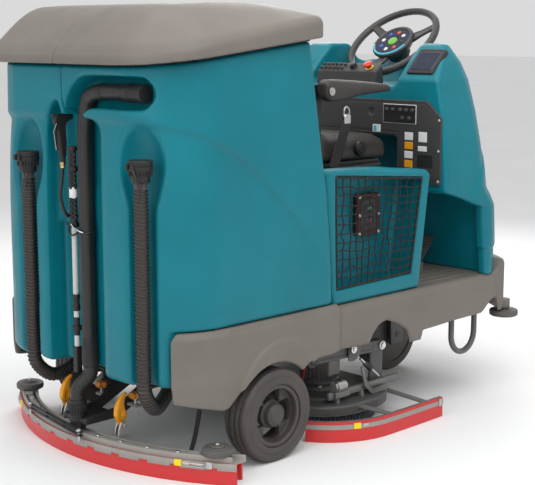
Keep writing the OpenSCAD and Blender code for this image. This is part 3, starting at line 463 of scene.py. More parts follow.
# %% Moulded plastic
def moulded(name, colour, rough=0.45, pebble=420, depth=0.25, drift=0.10):
    f = Finish(name)
    cloud = f.noise(3.5, 4.0, 0.6).between(0.3, 0.7)
    speck = f.noise(160, 2.0).between(0.25, 0.75)
    patch = f.noise(11, 3.0, 0.6).between(0.35, 0.7)
    worn = f.edges(0.53, 0.70)
    base = cloud.mix(tint(colour, 1 - drift), tint(colour, 1 + drift))
    base = (speck * 0.30).mix(base, tint(colour, 1 + 2 * drift))
    base = (worn * 0.30).mix(base, tint(colour, 1.6))
    gloss = patch * 0.12 + speck * 0.06 + (rough - 0.09)
    grain = f.bump(f.noise(pebble, 3.0, 0.55), depth, 0.45)
    wave = f.bump(f.noise(7, 1.0), 4.0, 0.07, grain)
    return f.shade(Base_Color=base, Roughness=gloss, Normal=wave, Specular_IOR_Level=0.3)


TEAL = moulded("teal_moulded", rgb(0.001, 0.160, 0.205), 0.40)
TAUPE = moulded("taupe_moulded", rgb(0.165, 0.147, 0.130), 0.50)
PANEL = moulded("panel_grey_moulded", rgb(0.048, 0.047, 0.046), 0.50, 600, 0.3)
DARK = moulded("dark_moulded", rgb(0.022, 0.021, 0.021), 0.42, 700, 0.2)
CHARGER = moulded("charger_plastic", rgb(0.060, 0.018, 0.014), 0.40, 700, 0.2)
BATTERY = moulded("battery_case", rgb(0.030, 0.032, 0.036), 0.5, 500, 0.3)
RIM = moulded("rim_brown_moulded", rgb(0.070, 0.061, 0.057), 0.40, 500, 0.2)
AMBER = moulded("amber_nylon", rgb(0.80, 0.33, 0.018), 0.30, 500, 0.1, 0.12)
STAR = moulded("star_knob_nylon", rgb(0.60, 0.22, 0.035), 0.34, 500, 0.1, 0.14)
YELLOW = moulded("yellow_latch", rgb(0.85, 0.62, 0.02), 0.32, 500, 0.1, 0.10)
STOP_RED = moulded("stop_button_red", rgb(0.62, 0.045, 0.025), 0.28, 500, 0.05, 0.06)
GREEN = moulded("button_green", rgb(0.16, 0.42, 0.07), 0.30, 500, 0.05, 0.05)
BLUE = moulded("pad_blue", rgb(0.02, 0.10, 0.42), 0.35, 500, 0.05, 0.05)
WHITE = moulded("white_collar", rgb(0.72, 0.72, 0.70), 0.30, 500, 0.08, 0.05)
HUB_TEAL = moulded("hub_teal", rgb(0.06, 0.42, 0.55), 0.35, 500, 0.05, 0.05)
WAND_GREY = moulded("wand_tube_grey", rgb(0.52, 0.52, 0.49), 0.28, 300, 0.05, 0.08)
RED_HOSE = moulded("red_hose", rgb(0.16, 0.012, 0.010), 0.40, 300, 0.1, 0.10)
BRISTLE = moulded("nylon_bristle", rgb(0.085, 0.10, 0.12), 0.55, 900, 0.5, 0.20)

# %% [markdown]
# Rubber is duller than plastic and holds dust. Tyres carry a pale bloom of it between their ribs and
# on the sidewall, hoses only a trace. Urethane squeegee blades are smooth and slightly glossy.


# %% Rubber and urethane
def rubbery(name, colour, rough, dust=0.25, dusty=rgb(0.20, 0.18, 0.16)):
    f = Finish(name)
    film = f.noise(9, 5.0, 0.65).between(0.42, 0.75)
    grit = f.noise(240, 2.0).between(0.3, 0.8)
    base = (film * dust).mix(colour, dusty)
    base = (grit * 0.12).mix(base, tint(colour, 2.2))
    gloss = film * 0.15 + grit * 0.05 + (rough - 0.08)
    return f.shade(Base_Color=base, Roughness=gloss, Normal=f.bump(f.noise(520, 3.0), 0.3, 0.5))


TYRE = rubbery("tyre_rubber", rgb(0.052, 0.044, 0.041), 0.62, 0.20)
ROLLER = rubbery("roller_rubber", rgb(0.085, 0.078, 0.074), 0.60, 0.20)
HOSE_CORE = rubbery("hose_core_dusty", rgb(0.070, 0.055, 0.047), 0.60, 0.10, rgb(0.16, 0.12, 0.09))
HOSE = rubbery("hose_rubber", rgb(0.016, 0.0145, 0.014), 0.42, 0.05, rgb(0.12, 0.09, 0.07))
SEAL = rubbery("gasket_rubber", rgb(0.010, 0.010, 0.010), 0.70, 0.08)
GRIP = rubbery("steering_rim_rubber", rgb(0.040, 0.036, 0.034), 0.46, 0.06)
URETHANE = rubbery("red_urethane", rgb(0.60, 0.026, 0.028), 0.36, 0.06, rgb(0.42, 0.05, 0.05))

# %% [markdown]
# Metal parts are painted, plated or cast. Paint has a faint orange peel and shows bare steel on
# sharp edges. Zinc plating breaks into large soft crystals. Castings are sandy and a little stained.


# %% Metals
def metal(name, colour, rough, metallic=1.0, spangle=0.0, worn=0.0, sand=0.15):
    f = Finish(name)
    stain = f.noise(14, 4.0, 0.6).between(0.3, 0.75)
    base = (stain * 0.35).mix(colour, tint(colour, 0.72))
    gloss = stain * 0.16 + (rough - 0.06)
    if spangle:
        flake = f.cells(spangle).between(0.1, 0.9)
        base = (flake * 0.30).mix(base, tint(colour, 1.25))
        gloss = gloss + flake * 0.10
    if worn:
        bare = f.edges(0.54, 0.66) * worn
        base = bare.mix(base, rgb(0.42, 0.42, 0.41))
        metallic = bare * (1 - metallic) + metallic
    return f.shade(
        Base_Color=base, Roughness=gloss, Metallic=metallic, Normal=f.bump(f.noise(300, 2.0), sand, 0.5)
    )


FRAME_PAINT = metal("frame_paint_black", rgb(0.020, 0.020, 0.021), 0.48, 0.0, 0, 0.5)
GREY_PAINT = metal("head_paint_grey", rgb(0.090, 0.088, 0.086), 0.45, 0.0, 0, 0.6)
LOOP_PAINT = metal("loop_paint", rgb(0.11, 0.105, 0.10), 0.42, 0.0, 0, 0.3)
CAST = metal("cast_light_grey", rgb(0.33, 0.31, 0.285), 0.48, 0.0, 0, 0.1, 0.35)
ZINC = metal("zinc_plate", rgb(0.55, 0.55, 0.53), 0.34, 1.0, 220)
STEEL = metal("bright_steel", rgb(0.66, 0.66, 0.65), 0.22, 1.0, 0, 0, 0.05)
BRASS = metal("brass", rgb(0.72, 0.50, 0.20), 0.28, 1.0, 0, 0, 0.05)
FAN_METAL = metal("fan_metal", rgb(0.20, 0.20, 0.21), 0.45, 0.6)

# %% [markdown]
# Seat vinyl has a leather grain: small rounded plates with fine creases between them. Webbing and
# net cord are woven, so their bump is a crossed pair of stripes.


# %% Vinyl, webbing and display glass
def vinyl(name, colour):
    f = Finish(name)
    plates = f.cells(420, "DISTANCE_TO_EDGE").between(0.0, 0.18)
    cloud = f.noise(8, 3.0).between(0.3, 0.7)
    base = cloud.mix(tint(colour, 0.86), tint(colour, 1.16))
    base = (plates * 0.35).mix(tint(colour, 0.6), base)
    gloss = cloud * 0.10 + (1 - plates) * 0.18 + 0.40
    wrinkle = f.bump(f.noise(26, 3.0, 0.6), 2.0, 0.25)
    return f.shade(Base_Color=base, Roughness=gloss, Normal=f.bump(plates, 0.35, 0.7, wrinkle))


def woven(name, colour, pitch):
    f = Finish(name)
    stripes = []
    for axis in ("X", "Y", "Z"):
        bands = {"wave_type": "BANDS", "bands_direction": axis}
        stripes.append(f.node("ShaderNodeTexWave", bands, {"Scale": pitch, "Distortion": 0.4}, 1))
    for wave in stripes:
        f.tree.links.new(f.coords.socket, wave.socket.node.inputs["Vector"])
    weave = stripes[0] * stripes[1] + stripes[1] * stripes[2] + stripes[2] * stripes[0]
    weave = weave.between(0.2, 1.8)
    base = weave.mix(tint(colour, 0.6), tint(colour, 1.7))
    return f.shade(Base_Color=base, Roughness=weave * 0.1 + 0.75, Normal=f.bump(weave, 0.5, 0.7))


def glass(name, colour):
    f = Finish(name)
    smear = f.noise(18, 4.0).between(0.4, 0.8)
    return f.shade(Base_Color=smear.mix(colour, tint(colour, 1.4)), Roughness=smear * 0.12 + 0.12)


VINYL = vinyl("seat_vinyl", rgb(0.062, 0.053, 0.048))
WEBBING = woven("belt_webbing", rgb(0.030, 0.027, 0.026), 95)
NET_CORD = woven("net_cord", rgb(0.010, 0.010, 0.010), 240)
SCREEN = glass("display_glass", rgb(0.010, 0.014, 0.035))
print(len(bpy.data.materials), "finishes")

# %% [markdown]
# ## Tanks
#
# The body is two tanks side by side: dirty water on the driver's right, clean water on the left.
# They share one outline with large rear corners. A step runs round the back below the lid and sweeps
# down along each side. The back has scoops and grooves in which the hoses and the wand are stored.
# All of this is one field, cut in two along the seam.

# %% The tanks' outer form
HALF, REAR, CORNER_R = 485, 440, 230
TANK_Z, SEAM_X = 470, 14
LID_REAR_Z, LID_SLOPE, OVERHANG, GASKET_H = 1272, 0.119, 30, 8
FRONT_TOP, FRONT_LOW = -181, -296
DRAINS = ((-352, 418, 960), (222, 432, 950))
HOSE_X = -34


def lid_line(y):
    """Height of the lid's lower edge."""
    return LID_REAR_Z + LID_SLOPE * (REAR + OVERHANG - y)


def tank_plan():
    rear = arc((HALF - CORNER_R, REAR - CORNER_R), CORNER_R, 0, 90, 20)
    rear += arc((CORNER_R - HALF, REAR - CORNER_R), CORNER_R, 90, 180, 20)
    front = FRONT_LOW - 10 + 45
    return rear + arc((45 - HALF, front), 45, 180, 270) + arc((HALF - 45, front), 45, 270, 360)


def sweep_line(y):
    """Height of the step along the sides: level at the rear, falling to the front."""
    along = [-260, -175, -95, 27, 142, 278, 442]
    return np.interp(y, along, [600, 717, 804, 923, 1008, 1078, 1118])


def tank_form(g):
    top = lid_line(g.y) - GASKET_H
    side = [(REAR, TANK_Z - 400), (REAR + 4, 800), (REAR - 2, 1090), (REAR + 4, 1140), (REAR, 1500)]
    side += [(-150, 1500), (FRONT_TOP, 1341), (-231, 992), (-256, 859), (-278, 657)]
    side += [(FRONT_LOW, TANK_Z), (FRONT_LOW, TANK_Z - 400)]
    plan = g.plan(tank_plan())
    lean = np.clip((g.z - 1000) / 350, 0, 1) * 7
    under = np.clip((sweep_line(g.y) - g.z) / 26, 0, 1)
    fade = np.clip(1 - (sweep_line(g.y) - 26 - g.z) / 330, 0, 1)
    front = np.clip((g.y + 270) / 120, 0, 1)
    step = 12 * under * under * (3 - 2 * under) * fade * fade * front
    wall = plan + step + lean * (abs(g.x) > 300)
    form = meet(wall, g.side(side), 12)
    form = meet(form, g.z - top, 10)
    upper = meet(form, TANK_Z - g.z, 10)
    low_plan = g.plan([(-426, 205), (426, 205), (426, 900), (-426, 900)])
    hanging = meet(meet(low_plan, plan + step, 24), meet(292 - g.z, g.z - TANK_Z - 20), 30)
    return fuse(upper, hanging, 8)


def rear_hollows(g):
    """Everything scooped out of the back: storage channel, hose grooves and cap scoops."""
    floor_y = REAR - 80
    plan = [(128, 700), (118, 392), (96, floor_y), (-72, floor_y), (-92, floor_y + 8), (-196, REAR + 6)]
    plan += [(-230, 700)]
    channel = meet(g.plan(plan), g.z - 1106, 40)
    panel = rounded((-150, 116), (100, 776), 34)
    channel = fuse(channel, meet(g.back(panel), floor_y - g.y, 14), 6)
    slot = [(HOSE_X + 46, 900), (HOSE_X + 46, 1110), (HOSE_X + 24, 1176), (HOSE_X - 24, 1222)]
    slot += [(HOSE_X - 90, 1238), (-330, 1238), (-368, 1226), (-386, 1189), (-368, 1152), (-330, 1140)]
    slot += [(-150, 1140), (-104, 1128), (-82, 1100), (-80, 900)]
    groove = meet(g.back(flowing(slot, 3, True)), floor_y - 2 - g.y, 26)
    made = fuse(channel, groove, 18)
    for x, y, top in DRAINS:
        run = fuse(post(g.x, g.y, (x, y), 43), meet(abs(g.x - x) - 43, y - g.y), 4)
        run = meet(run, g.z - top, 30)
        scoop = (g.x - x) ** 2 / 82**2 + (g.y - y - 10) ** 2 / 74**2 + (g.z - top - 16) ** 2 / 128**2
        made = fuse(made, fuse(run, (np.sqrt(scoop) - 1) * 74, 26), 10)
    gun = g.back(flowing([(100, 940), (108, 1080), (72, 1150), (30, 1130), (20, 940)], 4, True))
    return fuse(made, meet(gun, 372 - g.y, 20), 16)


# %% [markdown]
# The dirty-water tank is open under its hinged lid, so it needs an inner wall too. The same field,
# moved in by the wall's thickness, is cut out of the first.


# %% Recovery tank and solution tank
def recovery_tank():
    g = Grid((-502, -322, 280), (24, 462, 1372), 7.3)
    outer = cut(tank_form(g), rear_hollows(g), 14)
    outer = meet(outer, g.x - (SEAM_X - 0.5), 5)
    inner = meet(outer + 16, block(g, (-440, -150, 470), (-8, 350, 1600), 30) - 12, 20)
    mouth = block(g, (-452, -146, 1220), (-16, 344, 1600), 40)
    mouth = meet(mouth, g.plan(tank_plan()) + 26, 10)
    shape = cut(outer, fuse(inner, mouth, 6), 4)
    shelf = block(g, (-480, -200, 1095), (8, 12, 1105), 2)
    shape = fuse(shape, meet(shelf, outer + 4), 3)
    for x in (-380, -110):
        ear = block(g, (x, -214, 1312), (x + 12, -176, 1341), 3)
        pin = meet(post(g.y, g.z, (-205, 1332), 4), band(g.x, x, x + 40))
        shape = fuse(shape, np.minimum(ear, pin), 2)
    return mould("recovery_tank_shell", g, shape, TEAL, "chassis", "teal_body", ["recovery_tank"])


def solution_tank():
    g = Grid((4, -322, 280), (502, 462, 1372), 7.3)
    shape = cut(tank_form(g), rear_hollows(g), 14)
    shape = meet(shape, SEAM_X + 0.5 - g.x, 5)
    neck = meet(post(g.x, g.y, (260, 120), 75), 1060 - g.z, 10)
    shape = cut(shape, neck, 6)
    return mould("solution_tank_shell", g, shape, TEAL, "chassis", "teal_body", ["solution_tank"])


recovery_tank()
solution_tank()

# %% [markdown]
# ## Lid
#
# The lid is a pillow: a near-upright rim, then a slope that eases into a flat crown. Its height is
# written as a function of how far a point lies in from the rim, so the corners round themselves. A
# small diamond is pressed into the top for the hand.


# %% Recovery lid and solution cover
LID_HALF, LID_REAR, LID_FRONT = HALF + OVERHANG, REAR + OVERHANG, FRONT_TOP - OVERHANG - 22


def lid_plan():
    r, f = CORNER_R + OVERHANG - 40, 60
    line = arc((LID_HALF - r, LID_REAR - r), r, 0, 90, 20)
    line += arc((r - LID_HALF, LID_REAR - r), r, 90, 180, 20)
    line += arc((f - LID_HALF, LID_FRONT + f), f, 180, 270, 8)
    return line + arc((LID_HALF - f, LID_FRONT + f), f, 270, 360, 8)


def lid_top(g, deep):
    """Height of the lid's outer surface where a point lies deep inside the rim."""
    ahead = np.clip((LID_REAR - g.y) / (LID_REAR - LID_FRONT), 0, 1)
    rim = lid_line(g.y) + 44 + 26 * ahead
    crown = 1436 + 34 * np.sin(np.clip(ahead * 1.25, 0, 1) * pi / 2) - 26 * ahead**3
    rise = np.sin(np.clip((deep - 6) / 175, 0, 1) * pi / 2)
    return rim + (crown - rim) * rise**1.15


def lid_field(g, inset=0.0):
    plan = g.plan(lid_plan())
    top = lid_top(g, -plan)
    dent = np.maximum(abs(g.x + 250), abs(g.y - 250) * 0.8) / 22
    if not inset:
        top = top - 5 * np.clip(1.3 - dent, 0, 0.5)
    return meet(plan + inset, (g.z - top) * 0.86 + inset, 26 - inset)


def lid_half(name, node, body, low_x, high_x):
    g = Grid((low_x - 14, LID_FRONT - 14, 1262), (high_x + 14, LID_REAR + 14, 1484), 5)
    shape = meet(lid_field(g), lid_line(g.y) - g.z, 3)
    shape = meet(shape, band(g.x, low_x, high_x), 5)
    inner = meet(lid_field(g, 12), band(g.x, low_x + 12, high_x - 12), 5)
    shape = cut(shape, inner, 1)
    if body == "lid":
        for x in (-366, -96):
            knuckle = meet(post(g.y, g.z, (-205, 1332), 9), band(g.x, x, x + 24))
            web = block(g, (x, -212, 1335), (x + 24, -198, 1400), 2)
            shape = fuse(shape, cut(fuse(knuckle, web, 2), post(g.y, g.z, (-205, 1332), 4.6)), 2)
    return mould(name, g, shape, TAUPE, body, "grey_cover", [node])


lid_half("recovery_lid_shell", "recovery_lid", "lid", -LID_HALF, SEAM_X - 1)
lid_half("solution_cover_shell", "solution_cover", "chassis", SEAM_X + 1, LID_HALF)

# %% [markdown]
# ## Skirts and running board
#
# The grey skirts cover the rear wheels and swell into a flare over each tyre. The running board
# carries on forward at the same height, turns up into a bumper and is ribbed where the driver stands.


# %% Rear skirts
SKIRT_OUT, SKIRT_T, BOARD_REAR, AXLE_Z = HALF + 15, 14, -312, 152


def skirt_plan(out):
    r = CORNER_R + out - HALF
    line = arc((out - r, REAR + out - HALF - r), r, 0, 90, 20)
    line += arc((r - out, REAR + out - HALF - r), r, 90, 180, 20)
    return line + [(-out, BOARD_REAR - 60), (out, BOARD_REAR - 60)]


def skirt(side, word):
    low, high = sorted((side * 345, side * 524))
    g = Grid((low, BOARD_REAR - 12, 196), (high, 474, 484), 5)
    plan = g.plan(skirt_plan(SKIRT_OUT))
    flare = np.clip((190 - np.hypot(g.y + 35, g.z - 217)) / 16, 0, 1)
    plan = plan - 11 * flare * flare * (3 - 2 * flare) * (g.y < 200) * (abs(g.x) > 400)
    tuck = np.clip((g.z - 448) / 22, 0, 1) * 14 + np.clip((300 - g.z) / 90, 0, 1) * 8
    shell = meet(plan + tuck, -(plan + tuck + SKIRT_T + 4), 6)
    ledge = meet(meet(plan + 3, band(g.z, 456, 470), 5), band(g.y, -200, 190), 5)
    arch = arc((0, AXLE_Z), AXLE_Z + 24, 40, 134, 14)
    side_view = [(460, 472), (456, 440), (402, 270), (388, 254), (214, 209), (190, 212)] + arch
    side_view += [(-150, 300), (-281, 304), (BOARD_REAR + 2, 310), (BOARD_REAR + 2, 472)]
    shape = meet(np.minimum(shell, ledge), g.side(side_view), 5)
    shape = meet(shape, g.z - TANK_Z, 7)
    shape = meet(shape, 361 - side * g.x)
    shape = cut(shape, meet(band(g.x, -430, 430), 300 - g.y), 3)
    return mould("rear_skirt_" + word, g, shape, TAUPE, "chassis", "grey_cover")


skirts = both(skirt)
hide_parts("rear_skirts")

# %% Running board
FRONT, FLOOR_Z, LIP, BOARD_HALF, BOARD_CORNER = -1434, 457, 48, 490, -1260
ROLLER_AT = (468, -1293)


def board_plan(inset=0.0):
    h, s = BOARD_HALF - inset, BOARD_CORNER - FRONT
    r = (h * h + s * s) / (2 * s)
    a = math.degrees(math.asin(h / r))
    front = arc((0, FRONT + inset + r), r, 270 - a, 270 + a, 30)
    return [(h, BOARD_REAR), (-h, BOARD_REAR)] + front


def running_board():
    g = Grid((-506, -1448, 254), (506, BOARD_REAR + 12, 516), 7)
    plan = g.plan(board_plan())
    side = [(BOARD_REAR, 306), (-473, 298), (-491, 332), (-522, 362), (-565, 372), (-631, 346)]
    side += [(-676, 318), (-700, 264), (-768, 264), (-772, 299), (-932, 304), (-1126, 308)]
    side += [(-1182, 352), (-1215, 359), (-1236, 300), (FRONT - 9, 300), (FRONT - 9, FLOOR_Z + LIP)]
    side += [(BOARD_CORNER - 8, FLOOR_Z + LIP), (BOARD_CORNER + 66, FLOOR_Z), (BOARD_REAR, FLOOR_Z)]
    tuck = np.clip((g.z - 436) / 22, 0, 1) * 12 * (abs(g.x) > 440) * (g.y > BOARD_CORNER + 60)
    tuck = tuck + np.clip((330 - g.z) / 60, 0, 1) * 6
    shape = meet(plan + tuck, g.side(side), 9)
    hollow = meet(g.plan(board_plan(14)), g.z - 424, 10)
    shape = cut(shape, meet(hollow, FRONT + 34 - g.y, 8), 3)
    ribs = 2.5 * np.cos(g.x * 2 * pi / 46)
    on_floor = (g.z > 440) & (abs(g.x) < 430) & (g.y > -1160) & (g.y < -790)
    shape = shape - np.where(on_floor, np.clip(ribs, -1.2, 2.5), 0)
    for s in (1, -1):
        at = (s * ROLLER_AT[0], ROLLER_AT[1])
        boss = meet(post(g.x, g.y, at, 24), band(g.z, 301, 340), 4)
        boss = fuse(boss, meet(post(g.x, g.y, at, 9), band(g.z, 264, 310)), 2)
        shape = fuse(shape, boss, 6)
        for p, w in ((-210, 76), (-90, 96)):
            x = p + s * (w / 2 + 5)
            ear = block(g, (x - 4, -1054, 450), (x + 4, -1026, 492), 3)
            shape = np.minimum(shape, ear)
    return mould("running_board_shell", g, shape, TAUPE, "chassis", "grey_cover", ["running_board"])


running_board()

# %% [markdown]
# ## Seat base
#
# The seat stands on a moulded box that leans forward. Each side has a deep pocket for tools, whose
# rim is rounded like a picture frame and holds a net.

# %% Seat base
BASE_HALF, BASE_TOP, POCKET = 470, 880, 112
POCKET_LINE = [(-322, 512), (-314, 896), (-768, 858), (-712, 519)]


def seat_base():
    g = Grid((-484, -834, 446), (484, -248, 934), 7.4)
    side = [(-304, FLOOR_Z), (-262, 920), (-500, 912), (-800, 884), (-819, 866), (-764, FLOOR_Z)]
    shape = meet(g.side(side), abs(g.x) - BASE_HALF, 16)
    top = meet(band(g.x, -395, 395), BASE_TOP - g.z, 8)
    shape = cut(shape, top, 8)
    bay = block(g, (-342, -738, FLOOR_Z + 10), (342, -322, 1200), 8)
    shape = cut(shape, bay, 4)
    opening = g.side(POCKET_LINE)
    pocket = meet(opening, BASE_HALF - POCKET - abs(g.x), 20)
    shape = cut(shape, pocket, 9)
    return mould("seat_base_shell", g, shape, TEAL, "chassis", "teal_body", ["seat_base"])


seat_base()

# %% [markdown]
# ## Turned parts and swept parts
#
# A tyre, a hub cap, a knob and a hose cuff are turned: one outline spun about an axle. A hose, a
# steering rim or a bent steel loop is swept: a ring carried along a line. Both come out as closed
# meshes; equal points are merged and the faces are turned outwards before anything else is done.


# %% Spinning and sweeping
UP = (0, 0, 1)


def turns(n):
    """n angles, evenly spaced round a circle."""
    return np.linspace(0, 2 * pi, n, endpoint=False)


def circle(at, r, n):
    """n places round an upright axis."""
    return [(at[0] + r * cos(a), at[1] + r * sin(a), at[2]) for a in turns(n)]


def ring_faces(rows, n, closed=False, around=True):
    """Faces between rows of n places; the last row meets the first, or both ends get a cap."""
    faces = []
    for i in range(rows if closed else rows - 1):
        j = (i + 1) % rows
        for k in range(n if around else n - 1):
            m = (k + 1) % n
            faces.append((i * n + k, i * n + m, j * n + m, j * n + k))
    if not closed:
        faces += [tuple(range(n)), tuple(reversed(range((rows - 1) * n, rows * n)))]
    return faces


def turn_outwards(mesh, merge=2e-6):
    """Merges equal points of a closed mesh and turns its faces outwards."""
    work = bmesh.new()
    work.from_mesh(mesh)
    bmesh.ops.remove_doubles(work, verts=work.verts, dist=merge)
    bmesh.ops.recalc_face_normals(work, faces=work.faces)
    work.to_mesh(mesh)
    work.free()


def closed_piece(name, points, faces, material, body="chassis", slot=None, replaces=(), sharp=38):
    """A closed piece whose edges stay crisp where faces meet at more than so many degrees."""
    mesh = new_mesh(name, points, faces)
    turn_outwards(mesh)
    made = settle(shown(name, mesh), material, body, replaces)
    mesh.set_sharp_from_angle(angle=radians(sharp))
    return made


def spin_about(profile, at, axis, steps, ring=False):
    """An outline of (radius, height) spun about an axis; ring joins its last place to its first."""
    axis = Vector(axis).normalized()
    u = axis.orthogonal().normalized()
    v = axis.cross(u)
    points = []
    for i in range(steps):
        a = 2 * pi * i / steps
        out = u * cos(a) + v * sin(a)
        points += [Vector(at) + out * r + axis * h for r, h in profile]
    return points, ring_faces(steps, len(profile), True, ring)


def turned_part(
    name, profile, at, axis, material, body="chassis", slot=None, replaces=(), steps=40, ring=False
):
    points, faces = spin_about(profile, at, axis, steps, ring)
    return closed_piece(name, points, faces, material, body, slot, replaces)


def sweep(line, radius, steps=14, closed=False):
    """A tube's points and faces."""
    line = [Vector(p) for p in line]
    n = len(line)
    aside = None
    points = []
    for i, p in enumerate(line):
        before = line[i - 1] if i or closed else p
        after = line[(i + 1) % n] if i < n - 1 or closed else p
        way = (after - before).normalized()
        aside = way.orthogonal() if aside is None else aside - way * aside.dot(way)
        aside.normalize()
        other = way.cross(aside)
        for k in range(steps):
            a = 2 * pi * k / steps
            points.append(p + (aside * cos(a) + other * sin(a)) * radius)
    return points, ring_faces(n, steps, closed)


def swept_part(
    name, line, radius, material, body="chassis", slot=None, replaces=(), steps=14, ring=False
):
    return closed_piece(name, *sweep(line, radius, steps, ring), material, body, slot, replaces)


def joined(parts):
    """Several (points, faces) as one."""
    points, faces = [], []
    for more_points, more_faces in parts:
        base = len(points)
        points += list(more_points)
        faces += [tuple(base + i for i in f) for f in more_faces]
    return points, faces


def bar(a, b, wide, thick, up=UP):
    """A flat bar with small chamfers between two places, as points and faces."""
    a, b = Vector(a), Vector(b)
    way = (b - a).normalized()
    side = way.cross(Vector(up)).normalized()
    top = side.cross(way)
    c = min(wide, thick) * 0.22
    ring = []
    for sx, sz in ((1, 1), (-1, 1), (-1, -1), (1, -1)):
        first, second = ((wide / 2, thick / 2 - c), (wide / 2 - c, thick / 2))
        if sx * sz < 0:
            first, second = second, first
        ring += [side * (sx * q[0]) + top * (sz * q[1]) for q in (first, second)]
    points, n = [], len(ring)
    for end, inset in ((a, 1), (a + way * c, 0), (b - way * c, 0), (b, 1)):
        points += [end + q - q.normalized() * c * inset for q in ring]
    return points, ring_faces(4, n)


def slab(ring, low, high, plane="yz", c=1.2):
    """A plate from an outline, between two depths, its outer edges chamfered by c."""
    n = len(ring)
    area = sum(a[0] * b[1] - b[0] * a[1] for a, b in zip(ring, ring[1:] + ring[:1]))
    points = []
    for depth, inset in ((low, c), (low + c, 0), (high - c, 0), (high, c)):
        for i, p in enumerate(ring):
            a, b = np.array(ring[i - 1], float), np.array(ring[(i + 1) % n], float)
            normal = np.array([b[1] - a[1], a[0] - b[0]]) * (1 if area > 0 else -1)
            q = np.array(p, float) - inset * normal / (np.hypot(*normal) + 1e-9)
            points.append((depth, *q) if plane == "yz" else (*q, depth))
    return points, ring_faces(4, n)

# %% [markdown]
# ## What repeats
#
# Screws, buttons, hose ribs, links and bristles repeat. Geometry Nodes copy one small mesh to every
# point of a list, and turn each copy along the direction stored with its point.


# %% A Geometry Nodes row
def socket_in(tree, name, kind, value):
    made = tree.interface.new_socket(name, in_out="INPUT", socket_type=kind)
    made.default_value = value
    return made.identifier


def tree_of(name):
    tree = bpy.data.node_groups.new(name, "GeometryNodeTree")
    tree.interface.new_socket("Geometry", in_out="INPUT", socket_type="NodeSocketGeometry")
    tree.interface.new_socket("Geometry", in_out="OUTPUT", socket_type="NodeSocketGeometry")
    return tree, tree.nodes.new("NodeGroupInput"), tree.nodes.new("NodeGroupOutput")


def add(tree, kind, settings=None, **inputs):
    """A node with its settings, then its inputs by name; an input may be another node's output."""
    made = tree.nodes.new(kind)
    for key, value in (settings or {}).items():
        setattr(made, key, value)
    for key, value in inputs.items():
        name = key.replace("_", " ")
        if isinstance(value, bpy.types.NodeSocket):
            tree.links.new(value, made.inputs[name])
        else:
            made.inputs[name].default_value = value
    return made


def on_points():
    """Places an object on every point of a mesh, turned along the point's stored direction."""
    tree, start, end = tree_of("repeat_on_points")
    socket_in(tree, "Part", "NodeSocketObject", None)
    socket_in(tree, "Material", "NodeSocketMaterial", None)
    socket_in(tree, "Size", "NodeSocketFloat", 1.0)
    part = add(tree, "GeometryNodeObjectInfo", Object=start.outputs["Part"])
    way = add(tree, "GeometryNodeInputNamedAttribute", {"data_type": "FLOAT_VECTOR"}, Name="way")
    turn = add(tree, "FunctionNodeAlignRotationToVector", {"axis": "Z"}, Vector=way.outputs[0])
    placed = add(
        tree,
        "GeometryNodeInstanceOnPoints",
        Points=start.outputs["Geometry"],
        Instance=part.outputs["Geometry"],
        Rotation=turn.outputs[0],
    )
    tree.links.new(start.outputs["Size"], placed.inputs["Scale"])
    real = add(tree, "GeometryNodeRealizeInstances", Geometry=placed.outputs[0])
    coloured = add(
        tree, "GeometryNodeSetMaterial", Geometry=real.outputs[0], Material=start.outputs["Material"]
    )
    tree.links.new(coloured.outputs[0], end.inputs[0])
    return tree


REPEAT = on_points()


def lathe_mesh(name, profile, steps):
    """A small turned part about Z, in metres, to be copied."""
    points = []
    for i in range(steps):
        a = 2 * pi * i / steps
        points += [(r * cos(a), r * sin(a), h) for r, h in profile]
    mesh = bpy.data.meshes.new(name)
    mesh.from_pydata(points, [], ring_faces(steps, len(profile), True, False))
    turn_outwards(mesh, 1e-6)
    return mesh


def spindle(name, tip, shoulder, r, belly):
    """A small fin or knot: pointed at both ends, thickest in the middle."""
    line = [(0, tip), (r, shoulder), (belly, 0), (r, -shoulder), (0, -tip)]
    return lathe_mesh(name, line, 8)


def repeat(name, mesh, places, ways, material, body="chassis", size=1.0):
    """Copies of one small mesh at many places, along one way or a list of ways."""
    part = bpy.data.objects.new(name + "_part", mesh)
    spots = bpy.data.meshes.new(name)
    spots.from_pydata([place(*p) for p in places], [], [])
    way = spots.attributes.new("way", "FLOAT_VECTOR", "POINT")
    ways = np.broadcast_to(np.array(ways, np.float32), (len(places), 3))
    way.data.foreach_set("vector", ways.ravel())
    carrier = shown(name + "_carrier", spots)
    nodes_on = carrier.modifiers.new("repeat", "NODES")
    nodes_on.node_group = REPEAT
    names = {s.name: s.identifier for s in REPEAT.interface.items_tree if s.in_out == "INPUT"}
    nodes_on[names["Part"]] = part
    nodes_on[names["Material"]] = material
    nodes_on[names["Size"]] = size
    graph = bpy.context.evaluated_depsgraph_get()
    mesh_made = bpy.data.meshes.new_from_object(carrier.evaluated_get(graph))
    bpy.data.objects.remove(carrier)
    bpy.data.objects.remove(part)
    print(name, len(places), "times")
    return settle(shown(name, mesh_made), material, body)

# %% [markdown]
# ## Console
#
# The console is a moulded bridge over the driver's feet: two legs, a body that narrows upwards, two
# wings with displays on them, and a valley between the wings in which the steering wheel turns. Its
# front bulges forward. The form is a stack of curved outlines, given by their widths and depths at a
# few heights and smoothly filled in between.

# %% Console cowl
CONSOLE_REAR, UNDER_Z, DECK_Z, WING_TOP, WING_HALF = -905, 772, 1195, 1328, 226
STEER_AT, STEER_TILT = (0, -1150, 1332), 41
VALLEY_Z = DECK_Z - 22
LEVELS = (457, 600, 718, 760, 790, 860, 970, 1080, 1195, 1262, 1328)


